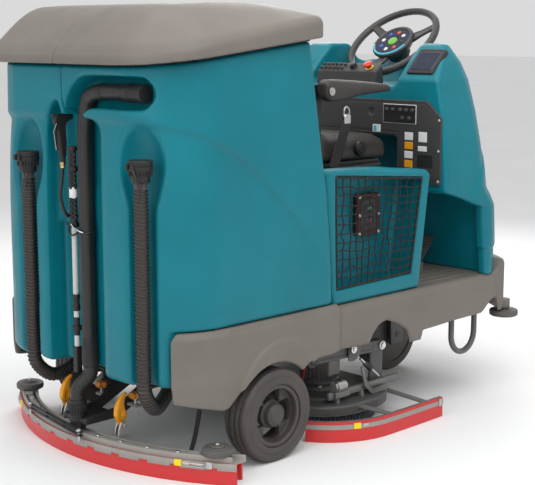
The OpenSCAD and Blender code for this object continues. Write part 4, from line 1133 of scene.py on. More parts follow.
# Half width, rear face, front corner and nose at each level.
CONSOLE_LINES = (
    (488, 486, 482, 476, 471, 468, 460, 446, 420, 392, 346),
    (-1140, -1130, -1122, -1000, -905, -905, -905, -905, -905, -966, -1040),
    (-1196, -1194, -1190, -1170, -1152, -1144, -1126, -1108, -1092, -1080, -1064),
    (-1396, -1390, -1382, -1356, -1330, -1324, -1310, -1298, -1280, -1246, -1190),
)


def console_body(g):
    half, rear, corner, nose = (np.interp(g.z, LEVELS, line) for line in CONSOLE_LINES)
    across = np.clip(abs(g.x) / half, 0, 1)
    face = nose + (corner - nose) * across**2 * (0.55 + 0.45 * across**2)
    walls = meet(abs(g.x) - half, (face - g.y) * 0.93, 34)
    return meet(walls, (g.y - rear) * 0.9, 14)


def console():
    g = Grid((-498, -1412, 446), (498, -888, 1340), 6.5)
    up = (STEER_AT[1] - 90 * sin(radians(STEER_TILT)) - 8,
          STEER_AT[2] - 90 * cos(radians(STEER_TILT)))
    slope = math.tan(radians(STEER_TILT))
    foot = up[0] + (up[1] - VALLEY_Z) / slope
    shape = meet(console_body(g), g.z - WING_TOP, 12)
    ridge = 0.9 * (g.z - 860) + (g.y + 1120) * 1.25
    shape = shape - 7 * np.clip(-ridge / 22, 0, 1) * (abs(g.x) > 400) * (g.z > 560)
    legs = meet(band(g.x, -444, 444), (-1168) - g.y, 26)
    shape = cut(shape, meet(legs, g.z - UNDER_Z, 20), 14)
    knee = block(g, (-236, CONSOLE_REAR - 170, 500), (236, -600, 985), 26)
    shape = cut(shape, knee, 12)
    base = [(0, 0), (0, FLOOR_Z), (BOARD_CORNER + 70, FLOOR_Z), (BOARD_CORNER + 10, FLOOR_Z + LIP)]
    shape = cut(shape, g.side(base + [(-3000, FLOOR_Z + LIP), (-3000, 0)]) + 1, 4)
    valley = [(0, VALLEY_Z), (foot, VALLEY_Z), up, (up[0] - 300, up[1] + 300 * slope), (0, 1900)]
    valley = meet(g.side(valley), abs(g.x) - WING_HALF, 30)
    shape = cut(shape, valley, 16)
    tilt = radians(STEER_TILT)
    along = (g.y - STEER_AT[1]) * cos(tilt) - (g.z - STEER_AT[2]) * sin(tilt)
    shaft = np.hypot(g.x - STEER_AT[0], along) - 30
    shape = cut(shape, meet(shaft, CONSOLE_REAR - 60 - g.y, 2), 4)
    return mould("console_cowl_shell", g, shape, TEAL, "chassis", "teal_body", ["console_cowl"])


console()

# %% [markdown]
# The panel that faces the driver carries a row of circuit breakers and a few blank plates.


# %% Console panel
BUTTON = lathe_mesh(
    "button",
    [(0, 0.0105), (0.0055, 0.0105), (0.0068, 0.0092), (0.0070, 0.001), (0.0095, 0), (0.0095, -0.002)],
    16,
)
SCREW = lathe_mesh(
    "screw",
    [(0, 0.0012), (0.0016, 0.0012), (0.0020, 0.0030), (0.0042, 0.0024), (0.0056, 0.0008),
     (0.0058, -0.0012)],
    14,
)


def plate(name, low, high, r, material, body="chassis", slot=None, cell=2.0):
    """A small rounded block: a label plate, a window, a clamp."""
    g = Grid([a - 3 * cell for a in low], [b + 3 * cell for b in high], cell)
    return mould(name, g, block(g, low, high, r), material, body, slot)


def console_panel():
    g = Grid((-456, CONSOLE_REAR - 6, 804), (456, CONSOLE_REAR + 16, 1130), 3.8)
    ring = [(-448, 812), (-239, 812), (-239, 988), (239, 988), (239, 812), (448, 812), (448, 1062)]
    ring += [(380, 1122), (-380, 1122), (-448, 1062)]
    line = g.back(ring)
    shape = meet(line, band(g.y, CONSOLE_REAR, CONSOLE_REAR + 8), 4)
    groove = abs(line + 12) - 2
    shape = cut(shape, meet(groove, CONSOLE_REAR + 6 - g.y), 1)
    shape = cut(shape, meet(post(g.x, g.z, (-110, 1072), 13), CONSOLE_REAR + 3 - g.y), 1)
    mould("console_panel_board", g, shape, PANEL, "chassis", "panel_grey", ["console_panel"])
    y = CONSOLE_REAR + 8
    plate("breaker_outline", (-334, y - 1, 1030), (-168, y + 2, 1108), 6, WHITE)
    plate("breaker_plate", (-331, y - 1, 1033), (-171, y + 3, 1105), 5, DARK)
    spots = (-315, 1084), (-286, 1084), (-257, 1084), (-300, 1054), (-268, 1054)
    places = [(x, y + 2, z) for x, z in spots + ((-222, 1084), (-192, 1084))]
    repeat("breakers", BUTTON, places, (0, 1, 0), PANEL)
    blanks = [
        ("plate_small", -160, -118, 994, 1026, WHITE), ("plate_stack_a", -318, -276, 972, 1004, WHITE),
        ("plate_stack_b", -318, -276, 938, 968, AMBER), ("plate_stack_c", -318, -276, 904, 934, WHITE),
        ("plate_stack_d", -318, -276, 870, 900, AMBER), ("plate_mark", -140, -124, 998, 1022, HUB_TEAL),
        ("plate_round", -384, -342, 968, 1008, WHITE), ("plate_line", -384, -340, 934, 956, WHITE),
        ("plate_wide", -412, -338, 876, 926, DARK),
    ]
    for name, x0, x1, z0, z1, material in blanks:
        proud = 1.8 if name == "plate_mark" else 1.2
        plate(name, (x0, y - 1, z0), (x1, y + proud, z1), 0.8, material)
    ends = [(x, y - 0.5, z) for x in (-436, 436) for z in (828, 940, 1052)]
    repeat("panel_screws", SCREW, ends, (0, 1, 0), ZINC)


console_panel()

# %% [markdown]
# The cluster under the wheel has a moulded hood with two rows of small lamps, a knob and a red stop
# button. On the right wing a dark glass display sits in a raised frame.

# %% Cluster, display and knobs
CLUSTER_TILT = 33


def turned(g, at, tilt):
    """Coordinates along a tilted part's own width, slope and height."""
    c, s = cos(radians(tilt)), sin(radians(tilt))
    y, z = g.y - at[1], g.z - at[2]
    return g.x - at[0], y * c - z * s, y * s + z * c


def cluster():
    g = Grid((-120, -978, 1166), (206, -908, 1262), 3)
    y = CONSOLE_REAR
    side = [(y - 8, VALLEY_Z), (y - 12, VALLEY_Z + 48), (y - 58, VALLEY_Z + 78), (y - 66, VALLEY_Z)]
    shape = meet(g.side(side), band(g.x, -110, 196), 9)
    for x in (20, -60):
        across, slope, up = turned(g, (x, y - 35, VALLEY_Z + 63), CLUSTER_TILT)
        shape = cut(shape, meet(np.hypot(across, slope) - 8.2, abs(up) - 40), 1)
    mould("cluster_hood", g, shape, PANEL, "chassis", "panel_grey", ["instrument_cluster"])
    c, s = cos(radians(CLUSTER_TILT)), sin(radians(CLUSTER_TILT))
    lamps = []
    for x in range(70, 181, 22):
        lamps += [(x, y - 35 + k * c, VALLEY_Z + 63 - k * s) for k in (-12, 12)]
    repeat("cluster_lamps", BUTTON, lamps, (0, s, c), DARK, "chassis", 0.9)
    tilt = math.degrees(math.atan2(WING_TOP - DECK_Z, CONSOLE_REAR + 1040))
    for name, low, high, rise, material, cell in (
        ("display_frame", 62, 62, 9, DARK, 2.4), ("display_glass", 52, 46, 10.4, SCREEN, 2.2),
    ):
        g = Grid((-396, -1060, 1180), (-244, -900, 1320), cell)
        across, slope, up = turned(g, (-320, CONSOLE_REAR - 64, DECK_Z + 63), tilt)
        flat = np.hypot(np.maximum(abs(across) - low + 8, 0), np.maximum(abs(slope) - high + 8, 0))
        mould(name, g, meet(flat - 8, band(up, -8, rise), 1.5), material)


cluster()

# %% [markdown]
# ## Wheels
#
# The rear tyres are solid rubber with three grooves, so their outline is turned. Each rim is a
# moulded disc with four kidney-shaped windows about a broad hub cap, which a distance field gives.

# %% Rear tyres and rims
TYRE_R, TYRE_Z, TYRE_IN, TYRE_OUT = 152, 152, 417, 517


def rear_tyre(side, word):
    r, inner = TYRE_R, 104
    profile = [(inner, 3), (inner, 97), (inner + 8, 99.4), (inner + 20, 98), (inner + 24, 96.2)]
    profile += [(inner + 28, 98), (r - 12, 98)]
    profile += [(r - 12 + 12 * sin(a), 86 + 12 * cos(a)) for a in (0.4, 0.8, 1.2, 1.5)]
    for at in (74, 50, 26):
        profile += [(r, at + 4), (r - 0.6, at + 2.7), (r - 4.5, at + 2.0), (r - 5, at)]
        profile += [(r - 4.5, at - 2.0), (r - 0.6, at - 2.7), (r, at - 4)]
    profile += [(r - 12 + 12 * sin(a), 14 - 12 * cos(a)) for a in (1.5, 1.2, 0.8, 0.4)]
    profile += [(r - 12, 2), (inner + 14, 1), (inner + 4, 1)]
    low = (TYRE_IN, 0, TYRE_Z) if side > 0 else (-TYRE_IN, 0, TYRE_Z)
    return turned_part("rear_tyre_rubber_" + word, profile, low, (side, 0, 0), TYRE, "wheel_" + word,
                       "tyre_brown", ["rear_tyre_" + word], 88, True)


def rear_rim(side, word):
    low = TYRE_IN if side > 0 else -TYRE_OUT
    g = Grid((low - 4, -114, TYRE_Z - 114), (low + 106, 114, TYRE_Z + 114), 2.4)
    out = (g.x * side) - TYRE_IN
    radius = np.hypot(g.y, g.z - TYRE_Z)
    around = np.arctan2(g.z - TYRE_Z, g.y)
    shape = meet(meet(radius - 103.6, 88 - radius, 2), band(out, 8, 93), 3)
    disc = meet(radius - 92, band(out, 44, 66), 2)
    quarter = abs((around - pi / 4) % (pi / 2) - pi / 4)
    hollow = np.maximum(abs(radius - 66) - 19, radius * quarter - 37)
    shape = fuse(shape, cut(disc, hollow, 5), 7)
    hub = meet(radius - 40 + np.maximum(out - 60, 0) * 0.10, band(out, 12, 90), 4)
    shape = fuse(shape, hub, 5)
    dish = meet(radius - 33, 84 - out, 3)
    shape = cut(shape, dish, 2)
    cap = meet(radius - 37 + np.maximum(out - 84, 0) * 0.8, band(out, 60, 97), 4)
    shape = fuse(shape, cap, 1.5)
    shape = cut(shape, meet(radius - 16, band(out, -20, 20)), 1)
    replaced = ["rear_rim_" + word]
    return mould("rear_rim_disc_" + word, g, shape, RIM, "wheel_" + word, "rim_brown", replaced)


both(rear_tyre)
both(rear_rim)

# %% [markdown]
# The corner rollers are small rubber wheels that lie flat. They keep the machine off walls, and turn
# on a bolt with a washer.

# %% Corner rollers and loops
def roller(name, at, r, low, high, body, replaced):
    mid, thick = (low + high) / 2, high - low
    h = thick / 2
    profile = [(9.2, -h), (r * 0.62, -h), (r * 0.66, -h + 2.5), (r - 6, -h + 2), (r - 1.5, -h + 5)]
    profile += [(r, -h * 0.3), (r, h * 0.3), (r - 1.5, h - 5), (r - 6, h - 2), (r * 0.66, h - 2.5)]
    profile += [(r * 0.62, h), (9.2, h)]
    rubber = "black_rubber", [replaced], 48, True
    return turned_part(name, profile, (*at, mid), UP, ROLLER, body, *rubber)


for side_name in ("left", "right"):
    low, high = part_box("front_roller_" + side_name)
    centre = (low + high) / 2
    at = (1000 * centre.x, 1000 * centre.y - AXLE_Y)
    roller("bumper_roller_" + side_name, at, 56, 1000 * low.z, 1000 * high.z, "roller_" + side_name,
           "front_roller_" + side_name)
    turned_part("bumper_bolt_" + side_name,
                [(0, 12), (8, 12), (9, 10), (9, 5), (16, 5), (17, 4), (17, 1.4), (0, 1.4)],
                (*at, 1000 * high.z), UP, ZINC, "roller_" + side_name, steps=6)


def tie_loop(side, word):
    x, top, foot = side * 440, 424, 232
    line = [(x, -996, top), (x, -996, foot)]
    line += [(x, -1067 + 71 * cos(a), foot - 71 * sin(a)) for a in np.linspace(0.15, 3.0, 15)]
    line += [(x, -1138, foot), (x, -1138, top)]
    return swept_part("tie_loop_" + word, line, 11, LOOP_PAINT, "chassis", "steel_grey",
                      ["tie_down_loops"] if side > 0 else (), 16)


both(tie_loop)


# %% Front wheel
def front_wheel():
    profile = [(116, -42), (144, -42), (149, -36), (150, -28), (150, 28), (149, 36), (144, 42)]
    profile += [(116, 42)]
    for at in (-20, 0, 20):
        k = next(i for i, p in enumerate(profile) if p == (150, 28))
        profile[k:k] = [(150, at - 3), (145, at - 2), (145, at + 2), (150, at + 3)]
    turned_part("front_tyre_rubber", profile, (0, -1130, 150),
                (1, 0, 0), TYRE, "front_wheel", "tyre_brown",
                ["front_tyre"], 64, True)


front_wheel()

# %% [markdown]
# ## Hoses
#
# The two drain hoses are ribbed so that they bend without folding. A rib is one thin ring; Geometry
# Nodes set it on every few millimetres of the hose's line. The suction hose is smooth, with a moulded
# cuff at each end. All of them are held at both ends, so they follow the routes of the model.

# %% Routes
RIGHT_DRAIN = [(-352, 418, z) for z in (960, 880, 700, 500, 340)]
RIGHT_DRAIN += [(-350, 410, 270), (-330, 358, 214), (-292, 288, 226), (-264, 241, 252)]
RIGHT_DRAIN += [(-262, 239, 270), (-262, 239, 291.4)]
LEFT_DRAIN = [(222, 432, z) for z in (950, 870, 700, 500, 340)]
LEFT_DRAIN += [(222, 422, 268), (220, 362, 216), (220, 292, 226), (220, 243, 252), (220, 239, 270)]
LEFT_DRAIN += [(220, 239, 291.4)]


def spaced(line, step):
    """Places every step millimetres along a line, with the line's direction at each."""
    line = np.array(line, float)
    gaps = np.hypot.reduce(np.diff(line, axis=0), axis=1)
    along = np.concatenate([[0], np.cumsum(gaps)])
    at = np.arange(step / 2, along[-1], step)
    made = np.stack([np.interp(at, along, line[:, k]) for k in range(3)], 1)
    ahead = np.stack([np.interp(at + 1, along, line[:, k]) for k in range(3)], 1)
    ways = ahead - made
    ways[-1] = ways[-2]
    return made, ways / np.maximum(np.hypot.reduce(ways, axis=1)[:, None], 1e-9)


def rib_mesh(name, inner, outer, half):
    profile = [(inner, -half), (outer - half * 0.5, -half * 0.8), (outer, 0)]
    profile += [(outer - half * 0.5, half * 0.8), (inner, half), (inner - 0.6, 0)]
    metres = [(r / 1000, h / 1000) for r, h in profile]
    points, faces = spin_about(metres, (0, 0, 0), UP, 26, True)
    mesh = bpy.data.meshes.new(name)
    mesh.from_pydata(points, [], faces)
    turn_outwards(mesh, 0)
    return mesh


RIB = rib_mesh("hose_rib", 18.6, 24, 3.4)


def drain_hose(name, route, cap_z, replaced):
    line = flowing(route, 8)
    swept_part(name + "_core", line, 19.6, HOSE_CORE, "chassis", "black_rubber", replaced, 22)
    body_line = [p for p in line if p[2] < cap_z - 40 or p[1] < 400]
    at, ways = spaced(body_line, 11.5)
    repeat(name + "_ribs", RIB, at, ways, HOSE, "chassis")


drain_hose("drain_hose_right", RIGHT_DRAIN, 960, ["drain_hoses"])
drain_hose("drain_hose_left", LEFT_DRAIN, 950, ())


def drain_cap(name, x, y, z, replaced):
    """A rubber stopper: a cone that grips the hose, a collar, a lid with finger tabs and a strap."""
    cone = [(0, -34), (27, -34), (29, -31), (30, -8), (34, 2), (37.5, 6), (38, 10), (38, 16)]
    cone += [(36.4, 17), (36.4, 19), (38, 20), (38, 31), (36, 33.5), (30, 34), (28, 32), (12, 31.5)]
    cone += [(0, 31.5)]
    turned_part(name, cone, (x, y, z), UP, DARK, "chassis", "dark_plastic", replaced, 44)
    places = circle((x, y, z - 4), 34.2, 22)
    tooth = spindle("cap_tooth", 0.011, 0.009, 0.0016, 0.0022)
    repeat(name + "_teeth", tooth, places, UP, DARK)
    parts = []
    for sign in (-1, 1):
        ear = [(x + sign * 12 - 5, y + 30), (x + sign * 12 + 5, y + 30), (x + sign * 12 + 5, y + 44)]
        ear += [(x + sign * 12 - 5, y + 44)]
        parts.append(slab(ear, z + 6, z + 24, "xy", 1.4))
    points, faces = joined(parts)
    closed_piece(name + "_ears", points, faces, DARK)
    strap = flowing([(x - 12, y + 40, z + 10), (x - 30, y + 42, z - 14), (x - 36, y + 34, z - 52),
                     (x - 28, y + 30, z - 84), (x - 23, y + 20, z - 60), (x - 27, y + 16, z - 34)], 6)
    swept_part(name + "_strap", strap, 2.3, HOSE, steps=8)


drain_cap("drain_cap_right", -352, 418, 961, ["drain_caps"])
drain_cap("drain_cap_left", 222, 432, 951, ())

# %% [markdown]
# The suction hose climbs from the squeegee into the tank. Its last stretch bends when the squeegee is
# lifted; that piece is joined to neither the chassis nor the lifting arm.

# %% Suction hose
HOSE_Y = 385.4
SUCTION = [(HOSE_X, HOSE_Y, z) for z in (300, 340, 420, 600, 800, 980)]
SUCTION += [(-36, HOSE_Y, 1070), (-48, HOSE_Y, 1130), (-66, HOSE_Y, 1172), (-120, HOSE_Y, 1187)]
SUCTION += [(x, HOSE_Y, 1189) for x in (-190, -270, -343)]
FLEX = [(HOSE_X, HOSE_Y, 299.2), (HOSE_X, HOSE_Y, 280), (-28, 391.4, 260), (-12, 408.5, 236),
        (-1, 414.5, 214),
        (0, 414.5, 202), (0, 414.5, 194), (0, 414.5, 187.2)]


def suction_hose():
    line = flowing(SUCTION, 8)
    swept_part("suction_hose_tube", line, 25, HOSE, "chassis", "black_rubber", ["suction_hose"], 32)
    cuff = [(24, 0), (27.5, 0), (29, 1.5), (29, 12), (27.2, 14), (27.2, 62), (29, 64), (29, 88)]
    cuff += [(27, 92), (25.6, 100), (24, 100)]
    turned_part("suction_cuff_top", cuff, (-345, HOSE_Y, 1189), (1, 0, 0), DARK, steps=40, ring=True)
    elbow = [(24, 0), (26.4, 2), (26.4, 26), (24, 28)]
    turned_part("suction_cuff_elbow", elbow, (-150, HOSE_Y, 1188.2), (1, 0, 0.01), DARK, ring=True)
    turned_part("suction_cuff_low", [(24, 0), (27, 3), (27.6, 30), (26.6, 60), (25.4, 96), (24, 98)],
                (HOSE_X, HOSE_Y, 300), UP, DARK, steps=40, ring=True)
    tie = [(HOSE_X + 27.5 * cos(a), HOSE_Y + 27.5 * sin(a), 742 + 3 * sin(2 * a))
           for a in turns(30)]
    swept_part("suction_tie", tie, 3, HOSE, steps=8, ring=True)


suction_hose()


def flex_hose():
    line = flowing(FLEX, 8)
    made = swept_part("suction_flex", line, 24.4, HOSE, None, "black_rubber", ["suction_hose_flex"], 28)
    start, end = place(*FLEX[1]), place(*FLEX[-2])
    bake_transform(made)
    at, ways = spaced(line[8:-6], 8)
    ribs = repeat("suction_flex_ribs", rib_mesh("flex_rib", 23.6, 25.6, 2.6), at, ways, HOSE, None)
    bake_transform(ribs)


flex_hose()

# %% [markdown]
# ## Spray gun and wand
#
# A spray gun hangs on the rear wall for washing the tank out, with a thin hose behind it. Beside the
# suction hose stands a telescopic wand with a black head, beaded grips and a clear tube.


# %% Spray gun
def spray_gun():
    g = Grid((36, 352, 940), (80, 452, 1124), 1.6)
    grip = [(397, 976), (419, 976), (426, 1050), (431, 1072), (441, 1090), (437, 1110), (420, 1114)]
    grip += [(388, 1113), (374, 1104), (374, 1094), (392, 1084), (397, 1066), (394, 1020)]
    shape = meet(g.side(grip), abs(g.x - 58) - 10, 7)
    shape = fuse(shape, capsule(g, (58, 372, 1104), (58, 400, 1104), 9.5), 4)
    shape = fuse(shape, capsule(g, (58, 436, 1108), (58, 441, 1108), 7), 4)
    shape = fuse(shape, capsule(g, (58, 408, 952), (58, 408, 982), 9.2), 3)
    mould("spray_gun_body", g, shape, DARK, "chassis", "dark_plastic", ["spray_gun"])
    turned_part("spray_brass", [(0, 0), (7.6, 0), (8.6, 1.5), (8.6, 9), (10.2, 10), (10.2, 19),
                                (8.2, 20), (8.2, 24), (0, 24)], (58, 408, 940), UP, BRASS, steps=20)
    turned_part("spray_nozzle", [(0, 0), (7, 0), (8, 2), (8, 8), (11, 10), (11, 17), (9, 18),
                                 (9, 30), (0, 30)],
                (58, 366, 1104), (0, 1, 0), DARK, steps=28)
    ring = [(58, 406 + 9 * cos(a), 1100 + 9 * sin(a)) for a in turns(24)]
    swept_part("spray_ring", ring, 2.2, STEEL, steps=10, ring=True)


spray_gun()


def spray_hose():
    line = flowing([(58, 408, 951.4), (58, 414, 900), (56, 422, 850), (54, 410, 800), (54, 390, 782),
                    (54, 360.4, 778)], 8)
    swept_part("spray_hose_tube", line, 6, HOSE, "chassis", "black_rubber", ["spray_hose"], 14)


spray_hose()


# %% Wand
def wand():
    x, y = 12, 402
    black = [(0, 1012), (12, 1012), (15, 1008), (15, 1000), (11, 996), (11, 860), (13, 858), (13, 846)]
    black += [(10.5, 844), (10.5, 780), (12, 778), (12, 764), (0, 764)]
    turned_part("wand_grips", black, (x, y, 0), UP, DARK, "chassis", "dark_plastic", ["wand"], 28)
    bead = lathe_mesh("wand_bead", [(0, 0.0055), (0.0032, 0.0046), (0.0058, 0.0012),
                                    (0.0062, -0.003)], 12)
    places, ways = [], []
    for z in list(range(880, 996, 15)) + list(range(784, 846, 15)):
        for turn in (-0.9, 0.35, 1.6, 3.4):
            way = (sin(turn - 0.6), cos(turn - 0.6), 0)
            places.append((x + 11 * way[0], y + 11 * way[1], z))
            ways.append(way)
    repeat("wand_beads", bead, places, ways, DARK)
    turned_part("wand_collar", [(0, 0), (12.6, 0), (13.6, 2), (13.6, 34), (12.6, 36), (0, 36)],
                (x, y, 846), UP, WHITE, steps=28)
    turned_part("wand_tube", [(0, 0), (9, 0), (9.6, 2), (9.6, 232), (0, 232)], (x, y, 532), UP,
                WAND_GREY, "chassis", "wand_grey", (), 28)
    turned_part("wand_joint", [(0, 0), (11, 0), (12.4, 3), (12.4, 20), (10.4, 23), (10.4, 34),
                               (12.4, 37), (12.4, 54), (0, 56)], (x, y, 478), UP, DARK, steps=28)
    turned_part("wand_lower", [(0, 0), (8, 0), (9, 2), (9, 120), (0, 120)], (x, y, 358), UP,
                WAND_GREY, steps=28)
    window = [(9.2, 0), (10, 1), (10, 60), (9.2, 61)]
    turned_part("wand_window", window, (x, y, 396), UP, DARK, steps=28, ring=True)
    plate("wand_end", (x - 11, y - 11, 272), (x + 11, y + 11, 360), 3, DARK, cell=1.6)
    for k, z in enumerate((420, 760, 940)):
        low, high = (x - 20, 374, z - 8), (x + 18, y + 16, z + 8)
        g = Grid([a - 4 for a in low], [b + 4 for b in high], 1.6)
        shape = meet(post(g.x, g.y, (x, y), 15), band(g.z, z - 8, z + 8), 2)
        shape = fuse(shape, block(g, (x - 9, 374, z - 6), (x + 9, y, z + 6), 2), 3)
        shape = cut(shape, post(g.x, g.y, (x, y), 10.4), 0.5)
        mould(f"wand_clip_{k}", g, shape, DARK)
    hook = flowing([(x - 4, y + 16, 764), (x - 26, y + 18, 752), (x - 52, y + 14, 744),
                    (x - 60, y + 2, 738), (x - 52, y - 6, 732), (x - 40, y + 4, 728)], 6)
    swept_part("wand_hook", hook, 2.6, STEEL, steps=10)
    strap = flowing([(x - 40, y + 12, 742), (x - 20, y + 20, 730), (x + 4, y + 18, 736),
                     (x + 18, y + 8, 748), (x + 30, y + 6, 764), (x + 38, y + 2, 758)], 6)
    swept_part("wand_strap", strap, 3.2, HOSE, steps=10)


wand()

# %% [markdown]
# ## Rear squeegee
#
# The squeegee is a long curved channel that holds two urethane blades. The rear blade is clamped by a
# light band, whose lower edge is notched so that the blade's tabs show. Everything on it follows one
# circle, so its parts are sections carried along that arc.

# %% Arc parts
ARC_Y = -540


ARC_STEPS = 96


def arc_part(name, section, half, material, body, slot=None, replaces=()):
    """A section of (radius, z) carried along the squeegee's arc, cut off at x = half on both sides."""
    points = []
    for i in range(ARC_STEPS + 1):
        t = 2 * i / ARC_STEPS - 1
        for r, z in section:
            a = math.asin(t * half / r)
            points.append((r * sin(a), ARC_Y + r * cos(a), z))
    faces = ring_faces(ARC_STEPS + 1, len(section))
    return closed_piece(name, points, faces, material, body, slot, replaces)


def on_arc(x, r):
    return x, ARC_Y + math.sqrt(r * r - x * x)


def squeegee_blades():
    rear = [(981.2, 69), (981.2, 3), (982, 0.2), (985.2, 0.2), (986, 3), (986, 69), (985.4, 70)]
    rear += [(981.8, 70)]
    arc_part("squeegee_rear_blade", rear, 586, URETHANE, "squeegee", "blade_red", ["squeegee_blades"])
    front = [(r - 58.4, z) for r, z in rear]
    arc_part("squeegee_front_blade", front, 556, URETHANE, "squeegee", "blade_red")


def notched_band():
    """The clamp band, with a low notch every 105 mm."""
    columns = []
    notches = [105 * k + half for k in range(-5, 6) for half in (-16, 16)]
    edges = [-588, *notches, 588]
    for k, (a, b) in enumerate(zip(edges, edges[1:])):
        low = 47 if k % 2 == 0 else 55
        columns += [(x, low) for x in np.linspace(a, b, 8 if k % 2 == 0 else 3)]
    points = []
    for x, low in columns:
        edge = (986.3, low), (989.2, low), (989.9, low + 1), (989.9, 70), (989.2, 71), (986.3, 71)
        points += [(*on_arc(x, r), z) for r, z in edge]
    closed_piece("squeegee_band", points, ring_faces(len(columns), 6), CAST, "squeegee")
    front = [(924.6, 48), (927.4, 48), (927.4, 70), (924.6, 70)]
    arc_part("squeegee_front_band", front, 550, CAST, "squeegee")


def squeegee_frame():
    lip = [(929, 60.4), (980.4, 60.4), (980.6, 62), (980.6, 86), (979, 88), (975, 88), (973, 86)]
    lip += [(973, 70), (971, 66), (938, 66), (936, 70), (936, 82), (934, 84), (930, 84), (928, 82)]
    lip += [(928, 61)]
    arc_part("squeegee_channel", lip, 568, CAST, "squeegee", "cast_grey", ["squeegee_frame"])
    cover = [(944, 66), (966, 66), (966, 80), (962, 84), (948, 84), (944, 80)]
    arc_part("squeegee_spine", cover, 540, CAST, "squeegee")
    spots = [(*on_arc(x, 955), 83.6) for x in range(-500, 501, 100) if abs(x) > 60]
    repeat("squeegee_nuts", SCREW, spots, UP, ZINC, "squeegee", 1.5)


squeegee_blades()
notched_band()
squeegee_frame()

# %% [markdown]
# Two amber toggles hold the squeegee to its lifting arm, and star knobs set its angle. Yellow latches
# with steel buckles release the blades. The slotted bars stiffen the mount.


# %% Toggles, knobs and latches
def toggle(side, word):
    x, y, z = side * 150, 352, 120
    g = Grid((x - 16, y - 40, z - 16), (x + 16, y + 44, z + 116), 1.8)
    horn = [(-9, -9), (9, -9), (20, 12), (27, 34), (24, 58), (12, 82), (-4, 98), (-18, 105), (-22, 99)]
    horn += [(-12, 86), (-6, 66), (-12, 46), (-20, 30), (-16, 12)]
    line = outline(horn, g.y - y, g.z - z)
    width = abs(g.x - x) - np.interp(g.z - z, (14, 30, 60, 100), (3.4, 9.5, 10.5, 6.5))
    shape = meet(line, width, 4.5)
    window = outline([(-2, 26), (12, 24), (16, 38), (6, 52), (0, 44)], g.y - y, g.z - z)
    shape = cut(shape, np.maximum(window + 2, 6.5 - abs(g.x - x)), 2)
    made = mould("squeegee_toggle_" + word, g, shape, AMBER, "lever_" + word, "lever_amber",
                 ["toggle_lever_" + word])
    cheeks = joined([
        slab([(y - 20, 84), (y + 24, 84), (y + 20, 108), (y + 10, 132), (y - 8, 132), (y - 16, 108)],
             x + s - 3.5, x + s + 3.5, "yz", 1.2)
        for s in (-9, 9)
    ])
    closed_piece("toggle_cheeks_" + word, *cheeks, ZINC, "squeegee")
    pin = [(0, -17), (7, -17), (7, -13), (4.6, -13), (4.6, 13), (7, 13), (7, 17), (0, 17)]
    turned_part("toggle_pin_" + word, pin, (x, y, z), (1, 0, 0), STEEL, "squeegee", steps=18)
    return made


both(toggle)


def star_knob(name, at, r, high):
    points, steps = [], 50
    axis = Vector(UP)
    u = axis.orthogonal().normalized()
    v = axis.cross(u)
    rows = [(0.0, high), (0.55, high), (0.86, high - 1.5), (1.0, high * 0.7), (1.0, high * 0.3)]
    rows += [(0.86, 1.5), (0.4, 0), (0.0, 0)]
    for i in range(steps):
        a = 2 * pi * i / steps
        lobe = 0.86 + 0.14 * cos(5 * a)
        out = u * cos(a) + v * sin(a)
        points += [Vector(at) + out * (r * q * (lobe if q > 0.5 else 1)) + axis * h for q, h in rows]
    faces = ring_faces(steps, len(rows), True, False)
    return closed_piece(name, points, faces, STAR, "squeegee_lift", "lever_amber")


def knob_set(side, word):
    star_knob("star_knob_" + word, (side * 92, 249, 172), 22, 22)
    turned_part("star_stud_" + word, [(0, 0), (5, 0), (5, 26), (9, 26), (9, 29), (0, 29)],
                (side * 92, 249, 145), UP, ZINC, "squeegee_lift", steps=16)


both(knob_set)


def latch(side, word):
    """A yellow catch and a steel buckle on the band, near the end of the rear blade."""
    for k, (x, material, wide, high, deep) in enumerate((
        (430, YELLOW, 22, 20, 9), (455, ZINC, 20, 16, 6), (486, ZINC, 34, 8, 5), (520, ZINC, 16, 22, 5),
    )):
        a, b = on_arc(side * (x - wide / 2), 990.2), on_arc(side * (x + wide / 2), 990.2)
        made = bar((*a, 62), (*b, 62), deep, high)
        closed_piece(f"blade_latch_{word}_{k}", *made, material, "squeegee")
    wire = (1, 448), (1, 505), (1, 512), (0, 515), (-1, 512), (-1, 505), (-1, 448)
    rod = [(*on_arc(side * x, 996), 62 + 5 * s) for s, x in wire]
    swept_part("latch_wire_" + word, rod, 1.6, STEEL, "squeegee", steps=8)


both(latch)


def slotted_bars():
    a, b = Vector((298, 408, 0)), Vector((-84, 466, 0))
    way = (b - a).normalized()
    out = Vector((-way.y, way.x, 0))
    parts = []
    for z in (92, 104):
        for s in (-1, 1):
            shift = out * 5.2 * s + Vector((0, 0, z))
            parts.append(bar(a + shift, b + shift, 3.6, 6))
        for t in (0.0, 0.33, 0.66, 0.985):
            c = a + (b - a) * t
            parts.append(bar(c + Vector((0, 0, z)), c + way * 12 + Vector((0, 0, z)), 13, 6))
    closed_piece("slotted_bars", *joined(parts), DARK, "squeegee")
    posts = []
    for t in (0.03, 0.97):
        c = a + (b - a) * t
        posts.append((c.x, c.y, 107))
        turned_part(f"slotted_bar_post_{len(posts)}", [(0, 0), (5, 0), (5, 37), (0, 37)],
                    (c.x, c.y, 72),
                    UP, ZINC, "squeegee", steps=14)
    repeat("slotted_bar_nuts", SCREW, posts, UP, ZINC, "squeegee", 1.7)


slotted_bars()

